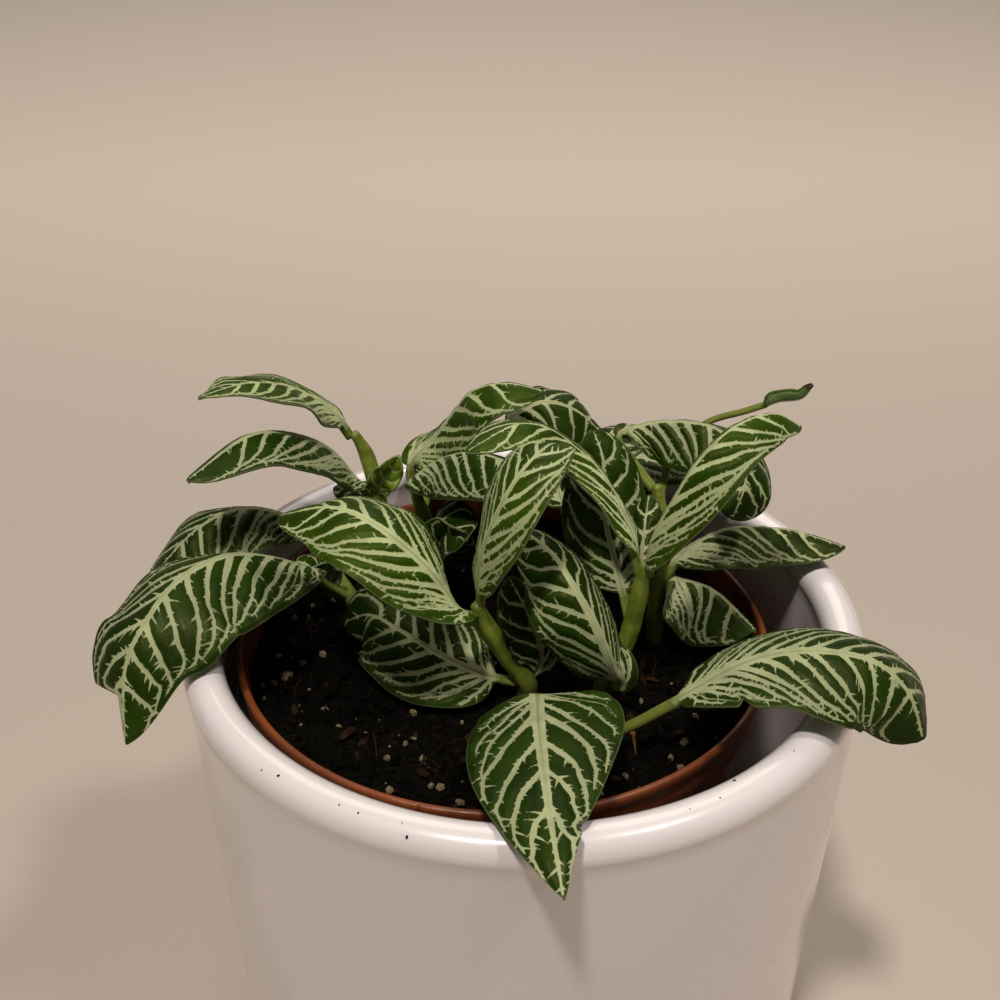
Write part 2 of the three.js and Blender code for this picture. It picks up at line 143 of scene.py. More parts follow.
# %% [markdown]
# ## A smooth path through points
# Stems, stalks and the midribs of the leaves follow smooth curves through a few points. A Bezier curve
# object could do it, but the CAD model uses a centripetal Catmull-Rom spline, so the same formula here
# puts each leaf exactly where its solid is.

# %% A smooth path through points
def smooth_path(points):
    """A centripetal Catmull-Rom spline through points in mm. Between two points it is a cubic whose
    end slopes come from the neighbours, each weighted by the square root of its distance.
    Returns the line in metres and the length run so far at each of its points."""
    p = np.array(points, float) * MM
    p = np.vstack([2 * p[0] - p[1], p, 2 * p[-1] - p[-2]])
    p0, p1, p2, p3 = p[:-3], p[1:-2], p[2:-1], p[3:]
    d0, d1, d2 = (np.sqrt(np.linalg.norm(b - a, axis=1, keepdims=True))
                  for a, b in ((p0, p1), (p1, p2), (p2, p3)))
    out = ((p1 - p0) / d0 - (p2 - p0) / (d0 + d1) + (p2 - p1) / d1) * d1
    into = ((p2 - p1) / d1 - (p3 - p1) / (d1 + d2) + (p3 - p2) / d2) * d1
    u = np.linspace(0, 1, 60)[None, :-1, None]
    cubic = (p1[:, None] + out[:, None] * u
             + (3 * (p2 - p1) - 2 * out - into)[:, None] * u ** 2
             + (2 * (p1 - p2) + out + into)[:, None] * u ** 3)
    line = np.vstack([cubic.reshape(-1, 3), p[-2:-1]])
    steps = np.linalg.norm(np.diff(line, axis=0), axis=1)
    return line, np.concatenate([[0], np.cumsum(steps)])


def along_path(line, run, place):
    """Points and unit directions at given lengths along a path."""
    slope = np.gradient(line, run, axis=0)
    point, ahead = (np.stack([np.interp(place, run, array[:, k]) for k in range(3)], -1)
                    for array in (line, slope))
    return point, ahead / np.linalg.norm(ahead, axis=-1, keepdims=True)


bow = smooth_path([[0, 0, 0], [10, 0, 5], [20, 0, 0]])
print("a bow 20 mm wide and 5 mm high is", round(bow[1][-1] / MM, 1), "mm long")

# %% [markdown]
# ## The plant's shape in numbers
# Each stem has a radius, a path and its leaves, in millimetres and degrees, with the CAD model's own
# values. A leaf has a spine from the stem to its tip. Its blade starts after the stalk. face is where
# the upper side looks, fold lifts the left and right halves at the midrib, curl bends them further on
# to the margin, and the values for the tip differ where the blade twists. belly is where it is widest.
# Left and right are as seen from above with the tip ahead.

# %% The plant's shape in numbers
STEMS = {
    "stem_left": dict(
      radius=1.9,
      path=[[-40, 16, 111], [-42, 17, 115], [-45, 19, 121]],
      leaves=[
        dict(spine=[[-41, 17, 114], [-46, 13, 121], [-51, 8, 129], [-63, -4, 139], [-72, -14, 139],
          [-77, -24, 135], [-80, -30, 129], [-80, -38, 115]],
          stalk=14, width=37, face=[-0.3, 0, 1], face_tip=[-0.3, -0.9, 0.3],
          fold=[-20, -27], fold_tip=[-20, -16], curl=[-15, -15], belly=0.46, margin=0.62,
          wave=0.2, torn=0.85,
          pairs=13, reach=0.4, rib=1.1),
        dict(spine=[[-45, 19, 120], [-48, 23, 124], [-53, 23, 130], [-60, 20, 136], [-67, 14, 139],
          [-74, 8, 137], [-83, 0, 129]],
          stalk=9, width=26, face=[-0.3, 0, 1], fold=[-32, -8], curl=[-15, -10], belly=0.56,
          margin=0.75,
          pairs=11, reach=0.55),
        dict(spine=[[-42, 17, 116], [-46, 14, 121], [-49, 10, 126], [-51, 7, 126]],
          stalk=3, width=9, face=[0.3, 0.3, 1], fold=[35, 35], curl=[20, 20]),
      ],
    ),
    "stem_back_left": dict(
      radius=1.9,
      path=[[-31, 32, 111], [-34, 34, 122], [-36, 36, 134], [-38, 37, 142], [-40.5, 36, 148]],
      leaves=[
        dict(spine=[[-40.5, 36.2, 147], [-43, 35, 152], [-47.5, 32, 158.5], [-54, 26, 165],
          [-61, 18, 169], [-69, 9, 170]],
          stalk=3, width=22, margin=0.95, face=[0.2, -0.35, 1], face_tip=[0, 0.1, 1],
          fold=[-6, -16], fold_tip=[-6, -8], curl=[4, -6], wave=0.3,
          pairs=11, reach=0.55),
        dict(spine=[[-35, 35, 126], [-37, 36, 131], [-40, 34, 137], [-44, 30, 146], [-50, 23, 154],
          [-59, 12, 160], [-70, -4, 157]],
          stalk=9, width=26, face=[0, 0.1, 1], fold=[-46, -30], fold_tip=[-8, -30], curl=[-12, -15],
          wave=0.3,
          pairs=13, reach=0.75, rib=2.4),
        dict(spine=[[-36, 35, 130], [-34, 32, 136], [-31, 29, 141], [-29, 27, 146]],
          stalk=2, width=7, face=[0, -1, 0.4], fold=[15, 15], curl=[10, 10]),
        dict(spine=[[-35, 35, 126], [-38, 37, 129], [-42, 39, 131], [-47, 41, 130]],
          stalk=3, width=10, face=[0, -0.2, 1], fold=[-10, -10], curl=[-15, -15]),
      ],
    ),
    "stem_back": dict(
      radius=1.8,
      path=[[-22, 40, 111], [-24, 40, 120], [-27, 40, 131]],
      leaves=[
        dict(spine=[[-27, 40, 130], [-27, 41, 137], [-22, 40, 144], [-17, 38, 152], [-12, 36, 159],
          [-4, 34, 162], [5, 32, 161]],
          stalk=6, width=26, face=[0.1, -0.3, 1],
          fold=[-16, -12], fold_tip=[-50, -12], curl=[-15, -15], wave=0.3,
          pairs=9, reach=0.6, rib=1.25),
        dict(spine=[[-26, 40, 128], [-25, 36, 137], [-18, 30, 145], [-10, 22, 150],
          [-1, 13, 151], [6, 6, 150]],
          stalk=7, width=25, face=[0, 0, 1], fold=[-25, -35], curl=[-15, -15], wave=0.3,
          pairs=11, reach=0.5),
        dict(spine=[[-24, 40, 119], [-25, 32, 122], [-23, 24, 127], [-18, 16, 133], [-13, 8, 135]],
          stalk=14, width=18, face=[0, -0.8, 0.8], fold=[-10, -20], curl=[-15, -15]),
        dict(spine=[[-22, 40, 112], [-24, 31, 117], [-21, 21, 123], [-17, 15, 130], [-13, 9, 136]],
          stalk=14, width=15, face=[0.3, -0.9, 0.5], fold=[-10, -10], curl=[-15, -15]),
        dict(spine=[[-25, 41, 124], [-22, 48, 129], [-19, 57, 131], [-17, 66, 130], [-16, 74, 126]],
          stalk=6, width=22, face=[0, 0.2, 1], fold=[-12, -12], curl=[-15, -15]),
        dict(spine=[[-22, 40, 116], [-15, 42, 130], [-8, 43, 141], [-1, 43, 150], [6, 43, 153],
          [14, 44, 150], [21, 46, 142]],
          stalk=36, width=22, face=[0, -0.3, 1], fold=[-15, -30], curl=[-15, -15]),
      ],
    ),
    "stem_front": dict(
      radius=2.1,
      path=[[1, -16, 113], [-3, -16, 120], [-7, -17, 128], [-10, -18, 136]],
      leaves=[
        dict(spine=[[-10, -18, 134], [-13, -22, 138], [-19, -23, 148], [-27, -21, 155],
          [-34, -17, 157], [-40, -13, 156], [-51, -8, 151]],
          stalk=4, width=24, face=[-0.1, -0.1, 1],
          fold=[-14, 0], fold_tip=[-14, -22], curl=[-14, -18],
          pairs=11, reach=0.55, rib=1.5),
        dict(spine=[[-10, -18, 135], [-9, -21, 149], [-6, -22, 159], [-3, -21, 165], [1, -17, 169],
          [5, -12, 170], [8, -7, 167]],
          stalk=4, width=18, face=[-0.7, -0.4, 0.6], face_tip=[-0.3, -0.3, 1],
          fold=[-10, -10], curl=[-10, -12],
          pairs=11, reach=0.6, rib=1.3),
        dict(spine=[[-1, -16, 114], [-9, -17, 117], [-18, -13, 119], [-27, -8, 122], [-34, -4, 123],
          [-40, -3, 120]],
          stalk=5, width=25, face=[0, -0.6, 1], fold=[-8, -8], curl=[-12, -12],
          pairs=9, reach=0.5),
        dict(spine=[[1, -16, 113], [4, -16, 119], [3, -16, 126], [0, -13, 132], [-3, -8, 136]],
          stalk=3, width=14, face=[0.5, -1, 0.4], fold=[-8, -8], curl=[-12, -12]),
      ],
    ),
    "stem_front_low": dict(
      radius=1.6,
      path=[[12, -30, 111], [11, -29.5, 113.5], [10, -29, 116]],
      leaves=[
        dict(spine=[[11.5, -29.5, 113], [16, -31.5, 113.5], [22, -33.5, 118.3],
          [27.5, -34.5, 123.2], [33, -35, 127.5], [41, -34.5, 133], [50, -34, 136],
          [59, -35, 137], [68, -36.5, 135.5], [74.5, -39, 130], [78.5, -41, 120]],
          stalk=24, width=29, belly=0.6, margin=0.58, face=[-0.1, 0, 1], face_tip=[0.1, -0.3, 0.9],
          fold=[-12, 8], fold_tip=[-24, -32], curl=[-20, -15], wave=0.2,
          pairs=13, reach=0.45, rib=1.45, notch=[1, 0.2, 0.2, 0.03]),
        dict(spine=[[9.5, -29, 114.5], [6, -27.5, 118], [3, -29.5, 121.8], [2.5, -35, 124],
          [2.5, -43, 126], [3, -57, 128], [4, -71, 129], [5, -79, 128], [6, -85, 124.5]],
          stalk=11, width=38.5, belly=0.33, margin=0.4, face=[-0.16, -0.3, 1],
          face_tip=[0, -0.3, 1],
          fold=[4, -8], fold_tip=[-14, -8], curl=[-14, -10], slim=[-0.06, 0.22], lop=[0.72, 0.06],
          wave=0.3,
          pairs=7, reach=0.6, rib=1.25, notch=[0, 0.77, 0.28, 0.035]),
      ],
    ),
    "stem_centre": dict(
      radius=1.8,
      path=[[17, -16, 111], [19, -16, 117], [22, -15, 124], [24, -14, 134], [25, -13, 143]],
      leaves=[
        dict(spine=[[18, -16, 114], [20, -22, 118], [18, -26, 127], [14, -25, 137], [9, -20, 144],
          [6, -15, 146], [1, -9, 147], [-2, -4, 145]],
          stalk=6, width=24, belly=0.46, margin=0.7, face=[-0.2, -1, 0.7],
          fold=[-8, -72], fold_tip=[4, -64], curl=[-14, -14],
          pairs=10, reach=0.5, rib=1.7),
        dict(spine=[[25, -13, 140], [25, -16, 150], [29, -16, 160], [34, -14, 168], [41, -10, 173],
          [50, -4, 173], [57, 0, 168]],
          stalk=3, width=19, face=[-0.7, -0.1, 0.7], face_tip=[0, -0.1, 1],
          fold=[-36, -32], curl=[-10, -10],
          pairs=11, reach=0.6, rib=1.15),
        dict(spine=[[25, -13, 140], [23, -10, 147], [20, -5, 153], [15, 0, 159], [11, 2, 162],
          [6, 2, 166], [-1, -1, 169], [-12, -8, 166]],
          stalk=4, width=16, face=[0.7, 0, 0.7], face_tip=[0.1, 0.1, 1],
          fold=[-14, -14], curl=[-10, -10],
          pairs=10, reach=0.55),
        dict(spine=[[22.5, -14.5, 128], [20, -6, 137], [18, 2, 144], [18, 7, 150], [17, 11, 156],
          [15, 14, 160]],
          stalk=7, width=21, face=[-0.3, -0.9, 0.5], face_tip=[-0.1, -0.6, 1],
          fold=[-10, -40], fold_tip=[-10, -20], curl=[-14, -14]),
        dict(spine=[[24, -13, 137], [25, -7, 142], [26, -2, 146], [27, 3, 150]],
          stalk=5, width=9, face=[-0.2, -0.9, 0.5], fold=[-30, -10], curl=[-14, -14]),
      ],
    ),
    "stem_right": dict(
      radius=1.9,
      path=[[31, 5, 111], [31, 6, 118], [31, 8, 128], [31, 11, 139], [30, 13, 147]],
      leaves=[
        dict(spine=[[30, 13, 146], [25, 18, 151], [22, 21, 155], [28, 23, 157.5], [35, 22, 158.5],
          [42, 19, 158.5], [48, 14, 156], [49, 9, 150], [46, 4, 143]],
          stalk=15, width=24, margin=0.45, face=[0.1, 0, 1], face_tip=[0.6, -0.6, 0.8],
          fold=[-50, -50], fold_tip=[0, -30], curl=[-14, -14], wave=0.3,
          pairs=10, reach=0.32),
        dict(spine=[[31, 7, 124], [36, 10, 130], [43, 14, 133], [51, 18, 133], [63, 18, 132],
          [75, 14, 130]],
          stalk=6, width=23, face=[0, 0, 1], fold=[-38, -22], curl=[-14, -14],
          pairs=10, reach=0.6),
        dict(spine=[[31, 5, 115], [31, 8, 121], [33, 9, 125], [37, 8, 125], [43, 6, 124],
          [48, 3, 121], [53, -1, 117]],
          stalk=11, width=29, margin=0.4, face=[0, -0.2, 1], fold=[-50, -24], curl=[-14, -6],
          wave=0.3,
          pairs=8, reach=0.75),
        dict(spine=[[31, 11, 139], [32, 20, 143], [36, 28, 149], [43, 31, 154], [51, 28, 158.5],
          [58, 26, 162], [62.5, 25, 163], [64.6, 24.6, 166.2]],
          stalk=44, stout=0.7, width=3.6, face=[-0.5, 0, 1], fold=[60, 60], curl=[30, 30], wave=0.1,
          pairs=3, reach=0.6),
      ],
    ),
    "stem_rear": dict(
      radius=1.8,
      path=[[14, 34, 111], [14, 35, 118], [14, 37, 127], [15, 38, 135]],
      leaves=[
        dict(spine=[[15, 38, 133], [19, 43, 138], [23, 51, 140], [26, 60, 138], [27, 69, 131]],
          stalk=5, width=25, face=[0, 0.2, 1], fold=[-12, -12], curl=[-15, -15]),
        dict(spine=[[15, 38, 132], [23, 37, 138], [33, 38, 142], [44, 40, 141], [54, 42, 134]],
          stalk=5, width=23, face=[0.2, 0.1, 1], fold=[-12, -12], curl=[-15, -15]),
        dict(spine=[[14, 36, 122], [19, 42, 127], [29, 50, 132], [39, 57, 133], [50, 64, 129]],
          stalk=7, width=23, face=[0.1, 0.2, 1], fold=[-12, -12], curl=[-15, -15]),
        dict(spine=[[14, 36, 121], [10, 41, 128], [8, 49, 133], [8, 58, 134], [8, 67, 129]],
          stalk=6, width=20, face=[0, 0.2, 1], fold=[-12, -12], curl=[-15, -15]),
      ],
    ),
}
print(len(STEMS), "stems with", sum(len(stem["leaves"]) for stem in STEMS.values()), "leaves")

# %% [markdown]
# ## The outline of a leaf
# A leaf is broad in its middle and pointed at both ends. A product of two powers gives that outline:
# one power of the way from the base, and one of the way to the tip. It could also be drawn as a curve
# by hand, but a formula keeps thirty leaves alike, while each has its own width and belly.

# %% The outline of a leaf
STALK_HALF = 1.25
BELLY, MARGIN, WAVE = 0.47, 0.55, 0.5


def blade_share(t, belly, margin):
    """Half width as a share of its greatest: t^m (1-t)^f over its value at the belly, where f is
    chosen so that the belly is where the outline is widest."""
    fall = margin * (1 - belly) / belly
    return t ** margin * (1 - t) ** fall / (belly ** margin * (1 - belly) ** fall)


def half_width(leaf, t, side):
    """Half width in mm at t from base (0) to tip (1), on the left (0) or right (1). The stalk's own
    half width joins in as the long side of a right triangle. A half can be slim all along, lopped
    towards the tip, torn off past a place, or have one short notch."""
    share = blade_share(t, leaf.get("belly", BELLY), leaf.get("margin", MARGIN))
    foot = STALK_HALF * leaf.get("stout", 1) * (1 - t)
    half = np.maximum(0.15, np.hypot(foot, leaf["width"] / 2 * share))
    whole = 1 - leaf.get("slim", (0, 0))[side] - leaf.get("lop", (0, 0))[side] * t
    if side == 1 and "torn" in leaf:
        whole = whole - (whole - 0.2) * smooth_step(leaf["torn"], leaf["torn"] + 0.025, t)
    if "notch" in leaf and leaf["notch"][0] == side:
        _, place, depth, size = leaf["notch"]
        whole = whole * (1 - depth * np.clip(1 - np.abs(t - place) / size, 0, 1) ** 1.5)
    return half * whole


print("half widths of a leaf 24 mm wide at its quarters:",
      half_width({"width": 24}, np.array([0.25, 0.5, 0.75]), 0).round(1).tolist())

# %% [markdown]
# ## The veins of a leaf
# A nerve plant is known by its pale veins: a broad midrib, pairs of side veins that curve towards the
# tip and stop short of the margin, and short thorn-like spikes along all of them. Noise alone can't
# draw such a network, so the veins are laid out as tapering line pieces on the flattened leaf. The
# distance to the nearest of them is stored at each point of the leaf, and the material paints cream
# where that distance is below nought. It stays sharp between the points of the mesh.

# %% The veins of a leaf
USUAL_WIDTH, PAIR_GAP, THORN_GAP = 28, 5.6, 1.15
REACH, RIB, HAIRS = 0.45, 0.95, 4


def tapering_line(s, x, r):
    """Line pieces (start s, x, r, end s, x, r) between neighbouring points of a line."""
    points = np.stack([s, x, r], -1)
    return np.hstack([points[:-1], points[1:]])


def spikes(s, x, r, sign, gap, size, random):
    """Short thorns that leave a line at 40 to 65 degrees, ahead and to a random side of it, one for
    each gap in mm, and now and then one that is long enough to reach the next vein."""
    run = np.concatenate([[0], np.cumsum(np.hypot(np.diff(s), np.diff(x)))])
    count = max(1, int(run[-1] / gap))
    at = (np.arange(count) + random.uniform(0.1, 0.9, count)) * run[-1] / count
    s0, x0, r0 = (np.interp(at, run, array) for array in (s, x, r))
    slope_x, slope_s = (np.interp(at, run, np.gradient(array, run)) for array in (x, s))
    heading = np.arctan2(slope_x, slope_s)
    side = np.where(random.random(count) < 0.5, -1, 1) if sign is None else sign
    turn = heading + side * np.radians(random.uniform(40, 65, count))
    reach = r0 + size * random.uniform(0.35, 1.0, count)
    reach = reach + np.where(random.random(count) < 0.15, size * random.uniform(0.9, 2.0, count), 0)
    base = np.minimum(0.26 * size, 0.7 * r0 + 0.08)
    return np.stack([s0, x0, base, s0 + reach * np.cos(turn), x0 + reach * np.sin(turn),
                     np.full(count, 0.03)], -1)


def vein_network(leaf, blade, random):
    """Main veins and thorns of a blade as tapering line pieces, in mm along and across it. The ends
    of the side veins are spread along the margin, closer towards the tip. Each starts on the midrib,
    behind its end by the leaf's reach, and those that would start before the base crowd there
    instead, like a fan. On its way it moves outwards as a sine, with slow and quick waves, and it
    thins towards its end. Thin hairs fill the fan."""
    size = (leaf["width"] / USUAL_WIDTH) ** 0.6
    t = np.linspace(0, 0.985, 16)
    midrib = size * leaf.get("rib", RIB) * ((1 - t) ** 0.9 + 0.10)
    sway = 0.25 * size * np.sin(6 * t + random.uniform(0, 6))
    main = [tapering_line(t * blade, sway * t, midrib)]
    fine = [spikes(t * blade, sway * t, midrib, sign, 2 * THORN_GAP, size, random) for sign in (-1, 1)]
    pairs = leaf.get("pairs", int(np.clip(round(blade / PAIR_GAP), 4, 11)))
    q = np.linspace(0, 1, 18)
    for side, sign in ((0, 1), (1, -1)):
        ends = ((np.arange(pairs) + 0.4 + random.uniform(-0.15, 0.15, pairs)) / pairs) ** 0.64
        hairs = random.uniform(0.02, 0.35, HAIRS)
        for end in np.concatenate([ends, hairs]):
            behind = end - leaf.get("reach", REACH) * (1 - 0.72 * end ** 3)
            start = max(0.004, 0.5 * (behind + np.hypot(behind, 0.22)) - 0.015)
            t = start + (min(end, 0.965) - start) * q ** random.uniform(0.9, 1.1)
            out = random.uniform(0.84, 0.94) * np.sin(0.5 * np.pi * q ** 1.08)
            slow = 0.45 * np.sin(9 * q + random.uniform(0, 6))
            wave = slow + 0.2 * np.sin(23 * q + random.uniform(0, 6))
            s = t * blade + size * q * wave
            x = sign * half_width(leaf, t, side) * out + size * np.sin(np.pi * q) * wave[::-1] * 0.7
            r = size * random.uniform(0.5, 0.65) * (0.5 + 0.5 * smooth_step(0, 0.2, start))
            knots = 1 + 0.2 * np.sin(17 * q + random.uniform(0, 6))
            r = r * (1 - 0.45 * start) * (1 - q) ** 0.55 * knots
            r = r + 0.07 + 0.22 * size * (1 - start) * np.exp(-9 * q)
            if end in hairs:
                main.append(tapering_line(s, x, 0.13 * (1 - q) + 0.05))
            else:
                main.append(tapering_line(s, x, r))
                fine.append(spikes(s, x, r, None, THORN_GAP, size, random))
    return np.vstack(main), np.vstack(fine)


def distance_to(lines, s, x):
    """Least distance in mm from each point (s, x) to the line pieces, less their half width at the
    nearest place: below nought inside a vein."""
    nearest = np.full(s.shape, 9.0)
    for part in np.array_split(lines, max(1, len(lines) // 40)):
        s0, x0, r0, s1, x1, r1 = part.T
        ds, dx = s1 - s0, x1 - x0
        share = ((s[..., None] - s0) * ds + (x[..., None] - x0) * dx) / (ds ** 2 + dx ** 2 + 1e-9)
        share = np.clip(share, 0, 1)
        gap = np.hypot(s[..., None] - s0 - share * ds, x[..., None] - x0 - share * dx)
        nearest = np.minimum(nearest, (gap - r0 - (r1 - r0) * share).min(-1))
    return nearest


sample = vein_network(STEMS["stem_front"]["leaves"][0], 50, np.random.default_rng(0))
print("line pieces in the veins and thorns of one leaf:", [len(part) for part in sample])

# %% [markdown]
# ## The surface of a leaf
# A blade is a thin sheet, puffed up between its veins and sunk along its midrib, and it grows out of
# a round stalk. Sculpting thirty of them by hand would take days, so each is a surface of two numbers:
# t runs from the foot of the stalk to the tip, and across runs from the right margin to the left. The
# underside has its own, coarser columns, because less is seen of it.

# %% The surface of a leaf
THICKNESS, PUFF, STALK_STEP = 0.45, 0.30, 0.8


def leaf_sheet(leaf, number, place, length, across):
    """Points of the leaf's upper surface before relief, and their flat coordinates. At each place the
    midrib has an up and a left direction. A point lies at its reach to the left or right, turned up by
    the fold, plus the curl in proportion to its reach, plus a sine ripple that grows to the margin."""
    line, run = smooth_path(leaf["spine"])
    centre, ahead = along_path(line, run, place * MM)
    blade = length - leaf["stalk"]
    t = np.clip((place - leaf["stalk"]) / blade, 0, 1)[:, None]
    face = np.array(leaf["face"], float)
    look = face + (np.array(leaf.get("face_tip", leaf["face"]), float) - face) * t
    left = np.cross(look, ahead)
    left = (left / np.linalg.norm(left, axis=1, keepdims=True))[:, None]
    up = np.cross(ahead[:, None], left)
    fold, fold_tip = leaf["fold"], leaf.get("fold_tip", leaf["fold"])
    x = np.zeros(across.shape)
    rise = np.zeros(across.shape)
    for side, sign in ((0, 1), (1, -1)):
        here = across * sign >= 0
        reach = np.abs(across) * half_width(leaf, t, side)
        lift = (fold[side] + (fold_tip[side] - fold[side]) * t) * np.minimum(1, 8 * t)
        bend = np.radians(lift + leaf["curl"][side] * reach / leaf["width"])
        phase = 1.9 * number + 2.4 * side
        waves = leaf.get("wave", WAVE) * np.sin(5 * np.pi * t + phase)
        waves = waves + 0.22 * np.sin(17 * t + 3 * phase)
        ripple = waves * across ** 2 * np.minimum(1, half_width(leaf, t, side) / 5)
        x = np.where(here, sign * reach * np.cos(bend), x)
        rise = np.where(here, reach * np.sin(bend) + ripple, rise)
    points = centre[:, None] + (left * x[..., None] + up * rise[..., None]) * MM
    half = np.where(across >= 0, half_width(leaf, t, 0), half_width(leaf, t, 1))
    s = (place - leaf["stalk"])[:, None] + 0 * across
    return points, s, across * half, half - np.abs(across * half)


def sheet_normals(points):
    """Unit directions across the product of the slopes along the rows and along the columns."""
    normal = np.cross(np.gradient(points, axis=0), np.gradient(points, axis=1))
    return normal / np.linalg.norm(normal, axis=-1, keepdims=True)


def leaf_side(leaf, number, place, length, flatness, veins, columns):
    """One side of a leaf before it gets its thickness: its points, their flat coordinates and distances
    to the margin and the veins, the puff between the veins, and the roundness of the stalk."""
    u = np.linspace(-1, 1, max(9, columns))[None, :]
    across = (1 - flatness) * np.sin(u * np.pi / 2) + flatness * np.sign(u) * np.abs(u) ** 1.1
    points, s, x, margin = leaf_sheet(leaf, number, place, length, across)
    main = distance_to(veins[0], s, x)
    puff = PUFF * smooth_step(-0.3, 1.4, main) * smooth_step(0, 1.5, margin) * flatness
    puff = puff + 0.03 * np.sin(1.1 * s + 0.9 * x) * np.sin(1.2 * x - 0.6 * s) * flatness
    return dict(points=points, s=s, x=x, margin=margin, main=main,
                vein=np.minimum(main, distance_to(veins[1], s, x)), puff=puff,
                roundness=np.sqrt(np.clip(1 - across ** 2, 0, 1)))


def skin_faces(i, j):
    """Faces of a closed skin from the point numbers of its upper grid i and lower grid j: both grids,
    walls along their sides, and one many-cornered face at each end."""
    return (quads(i[:-1, :-1], i[1:, :-1], i[1:, 1:], i[:-1, 1:])
            + quads(j[:-1, :-1], j[:-1, 1:], j[1:, 1:], j[1:, :-1])
            + quads(i[:-1, 0], j[:-1, 0], j[1:, 0], i[1:, 0])
            + quads(i[:-1, -1], i[1:, -1], j[1:, -1], j[:-1, -1])
            + [i[0].tolist() + j[0, ::-1].tolist(), i[-1, ::-1].tolist() + j[-1].tolist()])


def make_leaf(name, node, leaf, number, seed, fineness, finish):
    """One leaf as a closed skin. The stalk's section is an ellipse, 2.5 by 2.1 mm as a rule. On the
    blade the sheet is 0.45 mm thick, with puffs of 0.3 mm between the veins, a groove along the upper
    side of the midrib, and a rib under it that falls from 1.65 mm at the base to 0.45 mm at the tip."""
    length = smooth_path(leaf["spine"])[1][-1] / MM
    stalk, blade, stout = leaf["stalk"], length - leaf["stalk"], leaf.get("stout", 1)
    even = np.linspace(0, 1, int(blade / fineness) + 2)
    place = np.concatenate([np.linspace(0, stalk, int(stalk / STALK_STEP) + 2)[:-1],
                            stalk + blade * (0.6 * even + 0.2 * (1 - np.cos(np.pi * even)))])
    t = np.clip((place - stalk) / blade, 0, 1)[:, None]
    flatness = smooth_step(0, 0.07, t)
    columns = 2 * int(leaf["width"] / 2 / fineness) + 1
    veins = vein_network(leaf, blade, np.random.default_rng(seed))
    top, low = (leaf_side(leaf, number, place, length, flatness, veins, count)
                for count in (columns, 2 * (columns // 4) + 1))

    groove = 0.3 * np.exp(-(top["x"] / 0.45) ** 2) * (1 - 0.8 * t)
    lift = (1 - flatness) * (top["roundness"] - 1) * stout + top["puff"] - groove
    upper = top["points"] + sheet_normals(top["points"]) * lift[..., None] * MM
    rib = (1.65 - 1.2 * t ** 0.5) * np.exp(-(low["x"] / (1.5 - 0.9 * t)) ** 2)
    drop = (1 - flatness) * (1.1 + low["roundness"]) * stout
    drop = drop + flatness * (THICKNESS + rib * stout) - low["puff"]
    lower = low["points"] - sheet_normals(low["points"]) * drop[..., None] * MM

    n, rows = top["x"].size, len(place)
    i = np.arange(n).reshape(rows, -1)
    j = n + np.arange(low["x"].size).reshape(rows, -1)
    both = {key: np.concatenate([top[key].ravel(), low[key].ravel()])
            for key in ("s", "x", "margin", "main", "vein")}
    values = {
        "along": both["s"] / blade,
        "centre": np.abs(both["x"]),
        "margin": both["margin"],
        "main": np.minimum(both["main"], 4),
        "vein": np.minimum(both["vein"], 4),
        "under": np.repeat([0.0, 1.0], [n, j.size]),
    }
    points = np.concatenate([upper.reshape(-1, 3), lower.reshape(-1, 3)])
    return make_piece(name, points, skin_faces(i, j), finish, node, values)


# %% [markdown]
# ## A short way to write materials
# A material is a tree of small nodes, each with inputs and outputs that are linked. It can be drawn in
# the shader editor, but here it is written: each call below adds one node, sets or links its inputs,
# and gives back its output, so that a finish reads like a sum. Patterns start from the object's own
# coordinates, in metres, so a scale of 900 makes a grain of about a millimetre.

